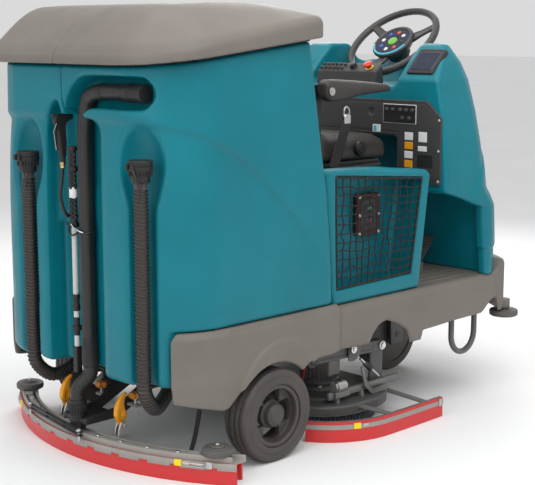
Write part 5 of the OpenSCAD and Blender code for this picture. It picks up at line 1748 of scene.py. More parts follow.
for side_name, x_side in (("left", 1), ("right", -1)):
    at = (x_side * 512, 262)
    roller("squeegee_wheel_" + side_name, at, 49, 84.6, 112.2, "end_roller_" + side_name,
           "squeegee_roller_" + side_name)
    turned_part("squeegee_wheel_cap_" + side_name,
                [(8.2, 0), (22, 0), (23, 3), (20, 6), (8.2, 7)], (*at, 111), UP, ROLLER,
                "end_roller_" + side_name, steps=26, ring=True)
    turned_part("squeegee_wheel_bolt_" + side_name, [(0, 0), (8, 0), (8, 5), (6, 7), (0, 7)],
                (*at, 116),
                UP, ZINC, "squeegee", steps=6)
    arm = bar((x_side * 440, 318, 86), (x_side * 520, 258, 82), 30, 6)
    closed_piece("squeegee_wheel_arm_" + side_name, *arm, CAST, "squeegee")


# %% Lifting arm
def lift_arm():
    outer = [(110, 196), (110, 232), (158, 228), (262, 168), (300, 146), (430, 132), (430, 112)]
    outer += [(290, 112)]
    g = Grid((-70, 100, 104), (70, 446, 240), 2.6)
    plates = meet(g.side(outer), band(abs(g.x), 48, 62), 4)
    floor = meet(block(g, (-62, 300, 112), (62, 430, 130), 5), 24 - post(g.x, g.y, (0, 414.5), 0))
    shape = fuse(plates, floor, 4)
    collar = meet(post(g.x, g.y, (0, 414.5), 26), band(g.z, 106, 186), 2)
    shape = fuse(shape, meet(collar, 21.4 - post(g.x, g.y, (0, 414.5), 0), 1), 2)
    finish = FRAME_PAINT, "squeegee_lift", "frame_black"
    mould("squeegee_arm_casting", g, shape, *finish, ["squeegee_arm"])
    turned_part("cuff_collar", [(21.3, 0), (26, 0), (27, 2), (27, 22), (29.4, 24), (29.4, 44),
                                (27, 46), (27, 80), (29.6, 82), (29.6, 92), (28, 94), (25, 95), (21.3, 95)],
                (0, 414.5, 92),
                UP, DARK, "squeegee_lift", steps=36, ring=True)
    fins = circle((0, 414.5, 155), 27, 18)
    fin = spindle("cuff_fin", 0.017, 0.015, 0.0022, 0.003)
    repeat("cuff_fins", fin, fins, UP, DARK, "squeegee_lift")
    arms = joined([bar((s * 62, 249, 150), (s * 112, 249, 150), 26, 8) for s in (-1, 1)])
    closed_piece("knob_brackets", *arms, CAST, "squeegee_lift")


lift_arm()


# %% Grounding strap
def ground_strap():
    line = flowing([(-332, 176, 172), (-334, 188, 128), (-338, 204, 84), (-344, 222, 52),
                    (-352, 240, 34)], 6)
    section = (-9, -1.4), (9, -1.4), (9, 1.4), (-9, 1.4)
    points = [(x + wide, y + thick, z + thick) for x, y, z in line for wide, thick in section]
    closed_piece("ground_strap", points, ring_faces(len(line), 4), HOSE)


ground_strap()

# %% [markdown]
# ## Scrub head
#
# Two disc brushes hang under a painted steel deck with a motor on each. Arms lift the head, and a
# sprung link keeps it level. The side squeegees are red blades clamped by a light band, like the
# rear one, and follow the deck's outline.

# %% Deck and motors
def deck():
    g = Grid((-470, -734, 44), (470, -246, 282), 6)
    ring = rounded((-462, 462), (-726, -254), 200, 10)
    plan = g.plan(ring)
    shape = meet(plan, band(g.z, 76, 90), 4)
    rim = meet(meet(plan, -9 - plan, 2), band(g.z, 50, 82), 3)
    shape = fuse(shape, rim, 4)
    hump = meet(plan + 74, band(g.z, 80, 100), 7)
    shape = fuse(shape, hump, 5)
    for x in (-226, 226):
        tall = meet(post(g.x, g.y, (x, -490), 66), band(g.z, 90, 264), 9)
        base = meet(post(g.x, g.y, (x, -490), 92), band(g.z, 90, 116), 5)
        cap = meet(post(g.x, g.y, (x, -490), 50), band(g.z, 240, 266), 4)
        shape = fuse(shape, fuse(tall, fuse(base, cap, 2), 8), 6)
        shape = cut(shape, post(g.x, g.y, (x, -490), 13), 1)
    for side in (-1, 1):
        ear = [(-666, 86), (-666, 262), (-650, 278), (-614, 278), (-598, 262), (-598, 86)]
        shape = fuse(shape, meet(g.side(ear), band(g.x * side, 368, 384), 3), 3)
    made = mould("scrub_deck_body", g, shape, GREY_PAINT, "head", "steel_grey", ["scrub_deck"])
    bolts = [(x + 80 * cos(a), -490 + 80 * sin(a), 115) for x in (-226, 226)
             for a in np.linspace(0.3, 6.58, 6, endpoint=False)]
    repeat("deck_bolts", SCREW, bolts, UP, ZINC, "head", 1.6)
    return made


deck()


def motor_dress():
    """Cooling fins, a terminal box and leads on each brush motor."""
    fins = [place for x in (-226, 226) for place in circle((x, -490, 185), 66, 30)]
    fin = lathe_mesh(
        "motor_fin", [(0, 0.05), (0.0022, 0.048), (0.0026, 0), (0.0022, -0.05), (0, -0.05)], 8
    )
    repeat("motor_fins", fin, fins, UP, GREY_PAINT, "head")
    for side, word in ((-1, "right"), (1, "left")):
        low, high = (side * 292 - 16, -520, 150), (side * 292 + 20, -460, 214)
        plate("motor_box_" + word, low, high, 5, CAST, "head", None, 2.4)
        for k in (0, 1):
            lead = flowing([(side * 300, -478 + 12 * k, 214), (side * 312, -470 + 14 * k, 244),
                            (side * 318, -440 + 12 * k, 262), (side * 306, -402 + 8 * k, 256),
                            (side * 286, -372, 226), (side * 280, -352, 180 - 10 * k),
                            (side * 282, -330, 96)], 6)
            r, material = (9, RED_HOSE) if k else (6, HOSE)
            swept_part(f"motor_lead_{word}_{k}", lead, r, material, "head", steps=12)


motor_dress()

# %% [markdown]
# The lift arms are flat bars with round eyes. A cam plate, a turnbuckle with a ribbed nut and a
# spring box sit where the arm meets the deck.


# %% Lift arms
def lift_arms():
    for side, word in ((1, "left"), (-1, "right")):
        g = Grid((side * 398 - 14, -662, 226), (side * 398 + 14, -236, 300), 2.6)
        arm = np.interp(g.y, (-632, -268), (20, 24))
        middle = np.interp(g.y, (-632, -268), (256, 268))
        way = abs(g.z - middle) - arm
        shape = meet(way, band(g.y, -632, -268), 0)
        eyes = np.minimum(post(g.y, g.z, (-632, 256), 20), post(g.y, g.z, (-268, 268), 24))
        shape = np.minimum(shape, eyes)
        relief = meet(abs(g.z - middle) - 9, band(g.y, -590, -310), 6)
        flat = abs(g.x - side * 398) - 6
        shape = meet(shape, flat, 2.4)
        shape = cut(shape, np.maximum(relief, 3.4 - abs(g.x - side * 398)), 1.5)
        for y, z in ((-632, 256), (-268, 268)):
            shape = cut(shape, post(g.y, g.z, (y, z), 9))
        mould("lift_arm_bar_" + word, g, shape, GREY_PAINT, "lift", "steel_grey",
              ["lift_arms"] if side > 0 else ())
        turned_part("lift_pivot_" + word, [(0, 0), (14, 0), (16, 2), (16, 7), (10, 8), (10, 13),
                                           (0, 13)],
                    (side * 404, -632, 256), (side, 0, 0), STEEL, "head", steps=24)
        turned_part("lift_boss_" + word, [(0, 0), (25, 0), (27, 3), (27, 8), (12, 9), (12, 14),
                                          (0, 14)],
                    (side * 404, -268, 268), (side, 0, 0), FRAME_PAINT, "lift", steps=30)
    swept_part("lift_cross_tube", [(-392, -339, 265),
                                   (392, -339, 265)], 14, GREY_PAINT, "lift", steps=20)


lift_arms()


def cam_and_link(side, word):
    x = side * 410
    cam = [(-470 + 44 * cos(a), 270 + 44 * sin(a)) for a in np.linspace(0.2, 5.2, 26)]
    cam += [(-470 + 20, 300), (-470 + 42, 296)]
    closed_piece("lift_cam_" + word, *slab(cam, x - 3, x + 3, "yz", 1), GREY_PAINT, "lift")
    turned_part("cam_bolt_" + word, [(0, 0), (12, 0), (14, 2), (14, 6), (7, 7), (7, 11), (0, 11)],
                (x + side * 3, -470, 270), (side, 0, 0), STEEL, "lift", steps=20)
    a, b = Vector((side * 420, -600, 150)), Vector((side * 420, -500, 232))
    swept_part("link_rod_" + word, [a, b], 5, STEEL, "head")
    way = (b - a).normalized()
    mid = a + (b - a) * 0.42
    nut = [(0, 0), (9, 0), (11, 2)]
    for k in range(6):
        nut += [(11, 3 + k * 6), (9.4, 5 + k * 6), (9.4, 6 + k * 6), (11, 8 + k * 6)]
    nut += [(10, 40), (0, 40)]
    turned_part("link_nut_" + word, nut, tuple(mid), tuple(way), FRAME_PAINT, "head", steps=22)
    bracket = [(-640, 92), (-560, 92), (-520, 128), (-500, 200), (-512, 204), (-536, 140), (-566, 112)]
    bracket = slab(bracket + [(-640, 112)], side * 424 - 3, side * 424 + 3, "yz", 1)
    closed_piece("link_bracket_" + word, *bracket, GREY_PAINT, "head")
    rail = bar((side * 404, -350, 118), (side * 404, -730, 122), 16, 26)
    feet = [bar((side * 404, y, 84), (side * 404, y, 110), 30, 14,
                (0, 1, 0)) for y in (-392, -520, -630)]
    closed_piece("head_rail_" + word, *joined([rail] + feet), GREY_PAINT, "head")
    ribs = [(side * 410, -420 + 6 * k, 150) for k in range(7)]
    rib = lathe_mesh("spring_rib", [(0, 0.002), (0.022, 0.002), (0.024, 0), (0.022, -0.002),
                                    (0, -0.002)], 22)
    repeat("spring_ribs_" + word, rib, ribs, (0, 1, 0), ZINC, "head")
    core = [(side * 410, -430, 150), (side * 410, -372, 150)]
    swept_part("spring_core_" + word, core, 17, ZINC, "head", steps=22)
    mount = [(-438, 112), (-368, 112), (-368, 132), (-438, 132)]
    mount = slab(mount, side * 410 - 18, side * 410 + 18, "yz", 2)
    closed_piece("spring_mount_" + word, *mount, GREY_PAINT, "head")


both(cam_and_link)


# %% Side squeegees
SIDE_ARC, SIDE_R = (-291, -460), 300


def side_line():
    line = [(-586, -765), (-588, -700), (-590, -600), (-591, -480)]
    line += [(SIDE_ARC[0] + SIDE_R * cos(a), SIDE_ARC[1] + SIDE_R * sin(a))
             for a in np.linspace(pi, radians(120), 26)]
    return line


def side_strip(name, inner, outer, low, high, material, side, slot=None, replaces=()):
    line = side_line()
    points = []
    for i, (x, y) in enumerate(line):
        a, b = line[max(i - 1, 0)], line[min(i + 1, len(line) - 1)]
        way = Vector((b[0] - a[0], b[1] - a[1])).normalized()
        inward = Vector((way.y, -way.x))
        for depth, z in ((inner, low), (outer, low), (outer, high), (inner, high)):
            points.append((-side * (x + inward.x * depth), y + inward.y * depth, z))
    return closed_piece(name, points, ring_faces(len(line), 4), material, "head", slot, replaces)


def side_squeegee(side, word):
    side_strip("side_blade_" + word, 7.5, 1.5, 1, 71, URETHANE, side, "blade_red",
               ["side_squeegees"] if side > 0 else ())
    side_strip("side_band_" + word, 18, 7.6, 50, 72, GREY_PAINT, side)
    side_strip("side_clamp_" + word, 1.4, -0.6, 46, 62, CAST, side)
    for y in (-490, -685):
        reach = (440, y + 40) if y > -600 else (366, y + 14)
        arm = bar((side * 574, y, 66), (side * reach[0], reach[1], 80), 26, 8)
        closed_piece(f"side_bracket_{word}_{-y}", *arm, GREY_PAINT, "head")
    catch = [("side_latch_a_", -330, YELLOW, 26, 20), ("side_latch_b_", -360, ZINC, 22, 12)]
    catch += [("side_latch_c_", -745, ZINC, 14, 26)]
    for name, y, material, long, high in catch:
        if y > -460:
            a = math.acos((y - SIDE_ARC[1]) / SIDE_R)
            x = SIDE_ARC[0] - SIDE_R * sin(a)
            turn = Vector((-(y - SIDE_ARC[1]), x - SIDE_ARC[0], 0)).normalized()
        else:
            x, turn = -588, Vector((0, 1, 0))
        c = Vector((x, y, 0))
        p, q = c - turn * long / 2, c + turn * long / 2
        if side > 0:
            p.x, q.x = -p.x, -q.x
        made = bar((p.x, p.y, 56), (q.x, q.y, 56), 7, high)
        closed_piece(name + word, *made, material, "head")


both(side_squeegee)

# %% [markdown]
# Each brush is a plastic disc with rings of stiff bristle tufts. A tuft is a few faces, placed
# hundreds of times by Geometry Nodes.


# %% Brushes
def brush(side, word):
    at = (side * 226, -490)
    body = "brush_l" if side > 0 else "brush_r"
    block_line = [(0, 44), (200, 44), (206, 46), (206, 60), (200, 62), (60, 62), (46, 66), (30, 74)]
    block_line += [(13, 78), (12, 102), (0, 102)]
    turned_part("brush_block_" + word, block_line, (*at, 0), UP, DARK, body, "bristle",
                ["brush_" + word], 56)
    tuft = lathe_mesh("bristle_tuft", [(0, 0.0), (0.0048, 0.0), (0.0036, -0.046), (0, -0.046)], 6)
    places = []
    for r in range(24, 206, 12):
        count = int(2 * pi * r / 14)
        for k in range(count):
            a = 2 * pi * (k + 0.5 * (r % 24 == 0)) / count
            places.append((at[0] + r * cos(a), at[1] + r * sin(a), 47))
    repeat("brush_bristles_" + word, tuft, places, UP, BRISTLE, body)


both(brush)

# %% [markdown]
# ## Seat
#
# The seat's cushion and back are vinyl over foam. A pad is drawn as a closed body a little smaller
# than its place, then inflated by the cloth simulation, so the vinyl domes between its seams and the
# corners pull in.

# %% Padding by cloth simulation
def inflate(made, cell, pressure, reach, pinned=None):
    """Remeshes a pad, blows it up as cloth, limits how far each point moves, and smooths it once."""
    remesh = made.modifiers.new("remesh", "REMESH")
    remesh.mode = "VOXEL"
    remesh.voxel_size = cell
    graph = bpy.context.evaluated_depsgraph_get()
    even = bpy.data.meshes.new_from_object(made.evaluated_get(graph))
    made.modifiers.remove(remesh)
    material = made.data.materials[0]
    made.data = even
    made.data.materials.clear()
    made.data.materials.append(material)
    start = np.empty(len(even.vertices) * 3, np.float32)
    even.vertices.foreach_get("co", start)
    start = start.reshape(-1, 3)
    cloth = made.modifiers.new("cloth", "CLOTH")
    settings = cloth.settings
    settings.quality = 5
    settings.mass = 0.3
    settings.tension_stiffness = settings.compression_stiffness = 15
    settings.bending_stiffness = 4
    settings.use_pressure = True
    settings.uniform_pressure_force = pressure
    settings.effector_weights.gravity = 0
    cloth.collision_settings.use_collision = False
    scene = bpy.context.scene
    for frame_number in range(1, 21):
        scene.frame_set(frame_number)
    graph = bpy.context.evaluated_depsgraph_get()
    blown = np.empty(len(even.vertices) * 3, np.float32)
    made.evaluated_get(graph).data.vertices.foreach_get("co", blown)
    made.modifiers.remove(cloth)
    scene.frame_set(1)
    move = blown.reshape(-1, 3) - start
    far = np.linalg.norm(move, axis=1, keepdims=True)
    move *= np.minimum(1, reach / np.maximum(far, 1e-9))
    if pinned:
        move *= pinned(start)[:, None]
    even.vertices.foreach_set("co", (start + move).ravel())
    even.update()
    print(made.name, "swelled by", round(1000 * float(np.linalg.norm(move, axis=1).max()), 1), "mm")
    smooth = made.modifiers.new("smooth", "SUBSURF")
    smooth.levels = smooth.render_levels = 1
    even.polygons.foreach_set("use_smooth", [True] * len(even.polygons))
    return made


# %% Seat cushion
SEAT_Z = 902.6
CUSHION = [(-852, SEAT_Z), (-492, SEAT_Z), (-478, SEAT_Z + 24), (-482, SEAT_Z + 100)]
CUSHION += [(-506, SEAT_Z + 110), (-560, SEAT_Z + 98), (-640, SEAT_Z + 90), (-810, SEAT_Z + 91)]
CUSHION += [(-858, SEAT_Z + 76), (-874, SEAT_Z + 46), (-868, SEAT_Z + 18)]
BACK_Z = 1025.6
BACK = [(-510, BACK_Z + 6), (-516, BACK_Z + 60), (-507, BACK_Z + 130), (-476, 1264), (-450, 1282),
        (-412, 1284),
        (-399, 1264), (-418, 1112), (-446, 1104), (-446, BACK_Z + 10), (-456, BACK_Z + 4)]


def pad(name, ring, half, corner, replaced, crown):
    low = (-half - 8, min(p[0] for p in ring) - 10, min(p[1] for p in ring) - 10)
    high = (half + 8, max(p[0] for p in ring) + 10, max(p[1] for p in ring) + 10)
    g = Grid(low, high, 6.0)
    side = g.side(ring)
    shape = meet(side + crown * (abs(g.x) / half) ** 2 * 0.5 + 2, abs(g.x) - half + 5, corner)
    return mould(name, g, shape, VINYL, "seat", "seat_vinyl", [replaced])


def sewn(made, channels, depth, width):
    """Presses sewn channels into the top of a pad: each is an axis, a place and a test for the side."""
    mesh = made.data
    co = np.empty(len(mesh.vertices) * 3, np.float32)
    normal = np.empty_like(co)
    mesh.vertices.foreach_get("co", co)
    mesh.vertices.foreach_get("normal", normal)
    co, normal = co.reshape(-1, 3), normal.reshape(-1, 3)
    press = np.zeros(len(co))
    for field in channels:
        press = np.maximum(press, np.exp(-((field(co) / width) ** 2)))
    co -= normal * (press * depth)[:, None]
    mesh.vertices.foreach_set("co", co.ravel())
    mesh.update()


def seat():
    shift = AXLE_Y / 1000
    cushion = pad("seat_cushion_pad", CUSHION, 232, 26, "seat_cushion", 6)
    floor = SEAT_Z / 1000
    inflate(cushion, 0.006, 4, 0.009, lambda co: np.clip((co[:, 2] - floor - 0.012) / 0.03, 0, 1))
    top = lambda co: co[:, 2] > floor + 0.07
    sewn(cushion, [
        lambda co: np.where(top(co), abs(co[:, 0]) - 0.158, 1.0),
        lambda co: np.where(top(co) & (abs(co[:, 0]) < 0.158), co[:, 1] - shift + 0.545, 1.0),
        lambda co: np.where(top(co) & (abs(co[:, 0]) < 0.158), co[:, 1] - shift + 0.70, 1.0),
    ], 0.006, 0.006)
    back = pad("seat_back_pad", BACK, 224, 24, "seat_back", 4)
    inflate(back, 0.006, 4, 0.008, lambda co: np.clip((-0.4413 + shift - co[:, 1]) / 0.02, 0.15, 1))
    face = lambda co: co[:, 1] < shift - 0.47
    sewn(back, [
        lambda co: np.where(face(co), abs(co[:, 0]) - 0.150, 1.0),
        lambda co: np.where(face(co) & (abs(co[:, 0]) < 0.15), co[:, 2] - 1.17, 1.0),
    ], 0.005, 0.006)
    for side in (1, -1):
        word = "left" if side > 0 else "right"
        boss = [(0, 6), (15, 6), (17, 4), (17, 3), (24, 3), (26, 1), (26, -10), (0, -10)]
        at = (side * 236, -700, SEAT_Z + 48)
        turned_part("seat_boss_" + word, boss, at, (side, 0, 0), DARK, "seat", steps=30)


seat()


def armrest(side, word):
    ring = [(-432, 1150), (-428, 1196), (-452, 1210), (-600, 1200), (-756, 1187), (-781, 1173)]
    ring += [(-776, 1158), (-620, 1149), (-520, 1131), (-458, 1131)]
    x = side * 289
    g = Grid((x - 34, -792, 1118), (x + 34, -416, 1222), 4.2)
    shape = meet(g.side(ring) + 1, abs(g.x - x) - 26, 13)
    finish = VINYL, "arm_" + word, "seat_vinyl"
    made = mould("armrest_pad_" + word, g, shape, *finish, ["armrest_" + word])
    inflate(made, 0.0055, 4, 0.005)
    turned_part("armrest_bolt_" + word, [(0, 0), (12, 0), (14, 2), (14, 5), (8, 6), (8, 8), (0, 8)],
                (x + side * 27, -452, 1168), (side, 0, 0), ZINC, "arm_" + word, steps=20)


both(armrest)

# %% [markdown]
# The belt is webbing on each side of the seat, with a chromed buckle. Webbing is a flat woven strap,
# modelled directly because a simulation would erase it.


# %% Seat belt
# A strap's section, from -1 to 1 across its width and its thickness.
WEB = (-1, -0.3), (-0.94, -1), (0.94, -1), (1, -0.3), (1, 0.3), (0.94, 1), (-0.94, 1), (-1, 0.3)


def strap(name, line, wide, thick, material, body, slot=None, replaces=()):
    """A flat strap along a line; its thickness lies along X."""
    line = [Vector(p) for p in line]
    t = Vector((1, 0, 0))
    points, n = [], len(line)
    for i, p in enumerate(line):
        way = (line[min(i + 1, n - 1)] - line[max(i - 1, 0)]).normalized()
        w = way.cross(t).normalized()
        points += [p + w * (a * wide / 2) + t * (b * thick / 2) for a, b in WEB]
    return closed_piece(name, points, ring_faces(n, 8), material, body, slot, replaces)


def belt(side, word):
    x = side * 252
    line = [(x, -536, 892), (x, -550, 930), (x + side, -574, 984), (x, -592, 1030), (x, -600, 1048)]
    line = flowing(line, 6)
    replaced = ["seat_belt"] if side > 0 else ()
    strap("belt_strap_" + word, line, 48, 3.4, WEBBING, "seat", "webbing", replaced)
    fold = flowing([(x, -600, 1048), (x - side * 3, -612, 1062), (x - side * 2, -606, 1078)], 5)
    strap("belt_fold_" + word, fold, 40, 3, WEBBING, "seat")
    ring = [(x - side * 1, -602 + 15 * cos(a), 1086 + 20 * sin(a))
            for a in turns(26)]
    swept_part("belt_ring_" + word, ring, 3, STEEL, "seat", steps=10, ring=True)
    tongue = [(-617, 1046), (-587, 1046), (-585, 1074), (-591, 1082), (-613, 1082), (-619, 1074)]
    closed_piece("belt_buckle_" + word, *slab(tongue, x - 6, x + 6, "yz", 2.5), STEEL, "seat")


both(belt)

# %% [markdown]
# ## Pocket nets
#
# A net of black cord is stretched over each side pocket. Its two families of cords are bent a little
# so the meshes come out uneven, as hand-knotted net does. Each crossing has a knot, and a thicker
# cord laces the edge.


# %% Nets
NET = [(-323, 515), (-315, 893), (-765, 856), (-712, 522)]


def net(side, word):
    random = np.random.default_rng(7 if side > 0 else 8)
    x = side * 466
    corner = [np.array(p, float) for p in NET]

    def at(u, v):
        low = corner[0] + (corner[3] - corner[0]) * u
        high = corner[1] + (corner[2] - corner[1]) * u
        return low + (high - low) * v

    n, m = 12, 12
    wobble = random.normal(0, 0.0095, (n + 1, m + 1, 2))
    wobble[0] = wobble[-1] = wobble[:, 0] = wobble[:, -1] = 0
    knots = np.zeros((n + 1, m + 1, 3))
    for i in range(n + 1):
        for j in range(m + 1):
            u, v = i / n + wobble[i, j, 0], j / m + wobble[i, j, 1]
            y, z = at(u, v - 0.010 * sin(pi * u) * sin(pi * v))
            sag = 5 * sin(pi * i / n) * sin(pi * j / m)
            knots[i, j] = (x - side * sag, y, z)
    parts = []
    for i in range(1, n):
        parts.append(sweep(flowing(list(knots[i]), 3), 2.3, 6))
    for j in range(1, m):
        parts.append(sweep(flowing(list(knots[:, j] + (side * 0.8, 0, 0)), 3), 2.3, 6))
    made = closed_piece("net_cords_" + word, *joined(parts), NET_CORD, "chassis", None,
                        ["side_nets"] if side > 0 else (), 70)
    knot = spindle("net_knot", 0.0034, 0.0018, 0.0030, 0.0036)
    inner = knots[1:-1, 1:-1].reshape(-1, 3)
    knotted = repeat("net_knots_" + word, knot, inner, (side, 0, 0), NET_CORD)
    edge = [knots[i, 0] for i in range(n + 1)] + [knots[n, j] for j in range(1, m + 1)]
    edge += [knots[i, m] for i in range(n - 1, -1, -1)] + [knots[0, j] for j in range(m - 1, 0, -1)]
    rim = swept_part("net_edge_" + word, edge, 4.2, NET_CORD, steps=8, ring=True)
    hooks = [knots[i, j] for i in range(0, n + 1, 2) for j in (0, m)]
    hooks += [knots[i, j] for i in (0, n) for j in range(2, m, 2)]
    hook = lathe_mesh("net_hook", [(0, 0.005), (0.004, 0.004), (0.0055, 0.001), (0.0055, -0.004)], 10)
    repeat("net_hooks_" + word, hook, [h + (side * 0.5, 0, 0) for h in hooks], (side, 0, 0), DARK)


both(net)


# %% Charger panel behind the net
def charger():
    x = -384
    g = Grid((x - 8, -648, 652), (-352, -512, 818), 2.4)
    face = g.side(rounded((-640, -520), (660, 810), 16))
    shape = meet(face, band(g.x, x, -358), 4)
    shape = cut(shape, np.maximum(face + 15, g.x - x - 4), 2)
    mould("charger_frame", g, shape, CHARGER, "chassis", "dark_plastic", ["charger_panel"])
    bolts = [(x + 0.5, y, z) for y in (-630, -530) for z in (670, 735, 800)]
    repeat("charger_bolts", SCREW, bolts, (-1, 0, 0), ZINC, "chassis", 1.2)
    plate("charger_face", (x + 2, -622, 680), (x + 6, -538, 790), 2, PANEL)
    for k, (z, material) in enumerate(((758, GREEN), (712, STOP_RED))):
        plate(f"charger_meter_{k}", (x, -604, z - 16), (x + 4, -556, z + 16), 3, SCREEN)
        low, high = (x - 1.4, -590, z - 5), (x + 3, -572, z + 5)
        plate(f"charger_lamp_{k}", low, high, 2, material, cell=1.0)


charger()

# %% [markdown]
# ## Steering wheel
#
# The wheel has a dark soft rim, three wide spokes and a deep hub pad. The pad carries a ring of
# coloured touch pads about a green centre, with a light teal arc along its lower edge. All of it is
# drawn flat, then tilted to the steering axis.

# %% Steering wheel
def tilted(at, tilt):
    """Turns a flat (x, y, up) place into the drawing, tilted back about X."""
    c, s = cos(radians(tilt)), sin(radians(tilt))
    return lambda p: Vector((at[0] + p[0], at[1] + p[1] * c + p[2] * s, at[2] - p[1] * s + p[2] * c))


on_wheel = tilted(STEER_AT, STEER_TILT)
WHEEL_UP = on_wheel(UP) - on_wheel((0, 0, 0))


# A spoke's sections: distance from the hub, half width, and the heights of its two faces.
SPOKE = (40, 24, -26, -6), (80, 23, -22, -4), (120, 18, -14, -1), (155, 16, -9, 4), (176, 17, -8, 7)


def steering_wheel():
    n, steps, rim_r, thick = 96, 16, 185, 14.4
    points = []
    for i in range(n):
        a = 2 * pi * i / n
        for k in range(steps):
            b = 2 * pi * k / steps
            grip = 1 - 0.035 * (abs(sin(a * 24)) > 0.9) * (sin(b) < 0.2)
            r = rim_r + thick * grip * cos(b)
            points.append(on_wheel((r * cos(a), r * sin(a), 14.8 * grip * sin(b))))
    rim = ring_faces(n, steps, True)
    closed_piece("steering_rim", points, rim, GRIP, "steering", "black_rubber", ["steering_wheel"])
    parts = []
    for turn in (90, 210, 330):
        a = radians(turn)
        out, aside = Vector((cos(a), sin(a), 0)), Vector((-sin(a), cos(a), 0))
        points = []
        for r, wide, low, high in SPOKE:
            section = [(-wide, low + 3), (-wide + 4, low), (wide - 4, low), (wide, low + 3)]
            section += [(wide, high - 4), (wide - 5, high), (6, high - 1.6), (-6, high - 1.6)]
            section += [(-wide + 5, high), (-wide, high - 4)]
            points += [on_wheel(tuple(out * r + aside * w + Vector((0, 0, z)))) for w, z in section]
        parts.append((points, ring_faces(len(SPOKE), 10)))
    closed_piece("steering_spokes", *joined(parts), GRIP, "steering", sharp=30)
    hub = [(0, -34), (58, -34), (72, -30), (82, -16), (88, -4), (88, 2), (85, 6), (78, 8), (74, 7.4)]
    hub += [(72, 4), (26, 4), (26, -2), (0, -2)]
    turned_part("steering_hub", hub, STEER_AT, WHEEL_UP, GRIP, "steering", steps=56)
    arc_points = []
    for a in np.linspace(radians(-20), radians(125), 32) + pi / 2 - 0.9:
        for r, z in ((75, 7.0), (83, 6.4), (82.6, 8.4), (75.6, 9.0)):
            arc_points.append(on_wheel((r * cos(a), r * sin(a), z)))
    closed_piece("hub_teal_arc", arc_points, ring_faces(32, 4), HUB_TEAL, "steering")
    turned_part("hub_pad_face", [(25, 3.6), (71.4, 3.6), (71.8, 4.6), (71, 5.4), (25, 5.4)],
                STEER_AT, WHEEL_UP, SCREEN, "steering", steps=48, ring=True)
    touch = [(0, 0), (8.6, 0), (8.6, 1.4), (7.6, 2.2), (0, 2.4)]
    for k, material in enumerate((BLUE, WHITE, STOP_RED, DARK, WHITE, STOP_RED, BLUE, WHITE)):
        a = radians(40 + 45 * k)
        c = on_wheel((48 * cos(a), 48 * sin(a), 5))
        turned_part(f"hub_touch_{k}", touch, c, WHEEL_UP, material, "steering", steps=22)
    turned_part("horn_cap", [(0, -6), (21, -6), (21.6, 4), (20, 7), (14, 8), (0, 8.4)],
                STEER_AT, WHEEL_UP, GREEN, "horn", "horn_green", ["horn_button"], 36)


steering_wheel()


def column():
    profile = [(0, -150), (26, -150), (27, -140), (27, -100), (31, -98), (31, -92), (27, -90)]
    profile += [(27, -78), (40, -74), (46, -66), (47, -44), (43, -36), (0, -35.5)]
    turned_part("steering_shroud", profile, STEER_AT, WHEEL_UP, PANEL, "chassis",
                None, ["steering_column"], 40)


column()

# %% [markdown]
# The speed knob is fluted so that a gloved hand can turn it. The stop button is a broad red mushroom.


# %% Knob, stop button and pedals
def knobs():
    lay = tilted((20, CONSOLE_REAR - 35, VALLEY_Z + 63), CLUSTER_TILT)
    rows = [(0, 16.6), (0.6, 16.6), (0.8, 16), (0.9, 12), (0.96, 3), (1.0, 1.2), (0.7, 0.6), (0, 0.6)]
    points, steps = [], 48
    for i in range(steps):
        a = 2 * pi * i / steps
        flute = 1 - 0.06 * (0.5 + 0.5 * cos(12 * a))
        for q, h in rows:
            r = 16 * q * (flute if 0.7 < q < 1.0 else 1)
            points.append(lay((r * cos(a), r * sin(a), h)))
    dial = points, ring_faces(steps, len(rows), True, False)
    up = lay(UP) - lay((0, 0, 0))
    shaft = spin_about([(0, 0.6), (7, 0.6), (7, -30), (0, -30)], lay((0, 0, 0)), up, 18)
    closed_piece("speed_dial", *joined([dial, shaft]), DARK, "speed", None, ["speed_knob"])
    lay = tilted((-60, CONSOLE_REAR - 35, VALLEY_Z + 63), CLUSTER_TILT)
    turned_part("stop_mushroom", [(0, 22), (12, 21.4), (17.5, 19), (19, 16), (18.4, 12), (15, 9),
                                  (9, 8), (7, 4), (7, -26), (0, -26)],
                lay((0, 0, 0)), up, STOP_RED, "stop", "stop_red",
                ["emergency_stop"], 40)
    turned_part("stop_collar", [(9.4, 0.2), (17.4, 0.2), (16.8, 1.5), (9.4, 1.8)], lay((0, 0, 0)), up,
                YELLOW, steps=32, ring=True)


knobs()


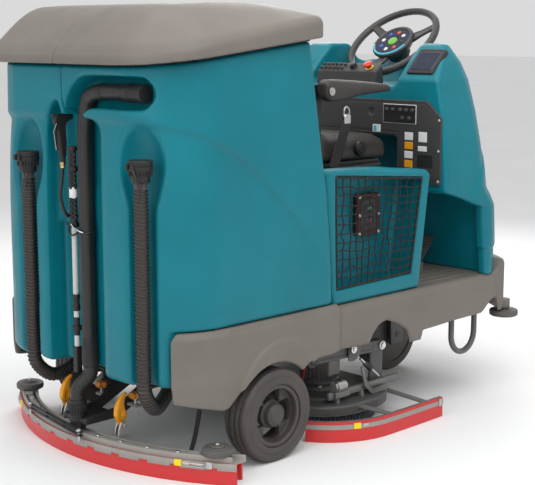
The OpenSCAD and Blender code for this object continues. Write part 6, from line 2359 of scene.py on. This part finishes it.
def pedal(name, x, wide, body, node):
    axis_y, axis_z, lean = -1040, 479, radians(48)
    rise, back = sin(lean), -cos(lean)
    way, normal = Vector((0, back, rise)), Vector((0, rise, -back))
    at = Vector((x, axis_y, axis_z))
    sole = bar(at + way * 6, at + way * 132, wide, 9, normal)
    treads = []
    for k in range(9):
        c = at + way * (16 + 13 * k) + normal * 5
        half = Vector((wide / 2 - 6, 0, 0))
        treads.append(bar(c - half, c + half, 6, 5, normal))
    closed_piece(name + "_plate", *sole, PANEL, body, None, [node])
    closed_piece(name + "_treads", *joined(treads), ROLLER, body)
    ends = [(x + end * (wide / 2 + 6), axis_y, axis_z) for end in (-1, 1)]
    swept_part(name + "_rod", ends, 8, ZINC, body, steps=16)


pedal("accelerator", -210, 76, "accelerator", "accelerator_pedal")
pedal("brake", -90, 96, "brake", "brake_pedal")

# %% [markdown]
# ## The parts underneath
#
# The steel frame, the fork, the axle and the covers' gasket keep their modelled shapes. Their meshes
# stay as they are; Weld and Bevel modifiers soften the edges, and each gets its finish.

# %% Finishes on the remaining parts
def dress(node, material, bevel):
    made = nodes[node]
    for slot in made.material_slots:
        slot.material = material
    if not made.material_slots:
        made.data.materials.append(material)
    weld = made.modifiers.new("weld", "WELD")
    weld.merge_threshold = 1e-6
    soft = made.modifiers.new("soft edges", "BEVEL")
    soft.width, soft.segments, soft.limit_method = bevel / 1000, 2, "ANGLE"
    soft.angle_limit = radians(40)
    soft.use_clamp_overlap = True
    made.data.polygons.foreach_set("use_smooth", [True] * len(made.data.polygons))
    normals = made.modifiers.new("flat faces", "WEIGHTED_NORMAL")
    normals.keep_sharp = True


for node, material, bevel in (
    ("frame", FRAME_PAINT, 1.5), ("drive_fork", GREY_PAINT, 1.5), ("front_hub", RIM, 1.2),
    ("rear_axle", STEEL, 0.8), ("lid_gasket", SEAL, 1.5), ("vacuum_fan", FAN_METAL, 1.5),
    ("batteries", BATTERY, 3), ("seat_slide", FRAME_PAINT, 1.2), ("spray_trigger", STEEL, 0.8),
):
    dress(node, material, bevel)


# %% [markdown]
# ## Floor
#
# A plain pale floor carries the shadow. It isn't part of the machine.


# %% Floor
def floor():
    f = Finish("pale_floor")
    cloud = f.noise(0.8, 2.0).between(0.3, 0.7)
    base = cloud.mix(rgb(0.86, 0.86, 0.86), rgb(0.89, 0.89, 0.89))
    material = f.shade(Base_Color=base, Roughness=0.9)
    mesh = bpy.data.meshes.new("floor")
    size = 60
    corners = [(-size, -size, 0), (size, -size, 0), (size, size, 0), (-size, size, 0)]
    mesh.from_pydata(corners, [], [(0, 1, 2, 3)])
    mesh.materials.append(material)
    shown("floor", mesh)


floor()
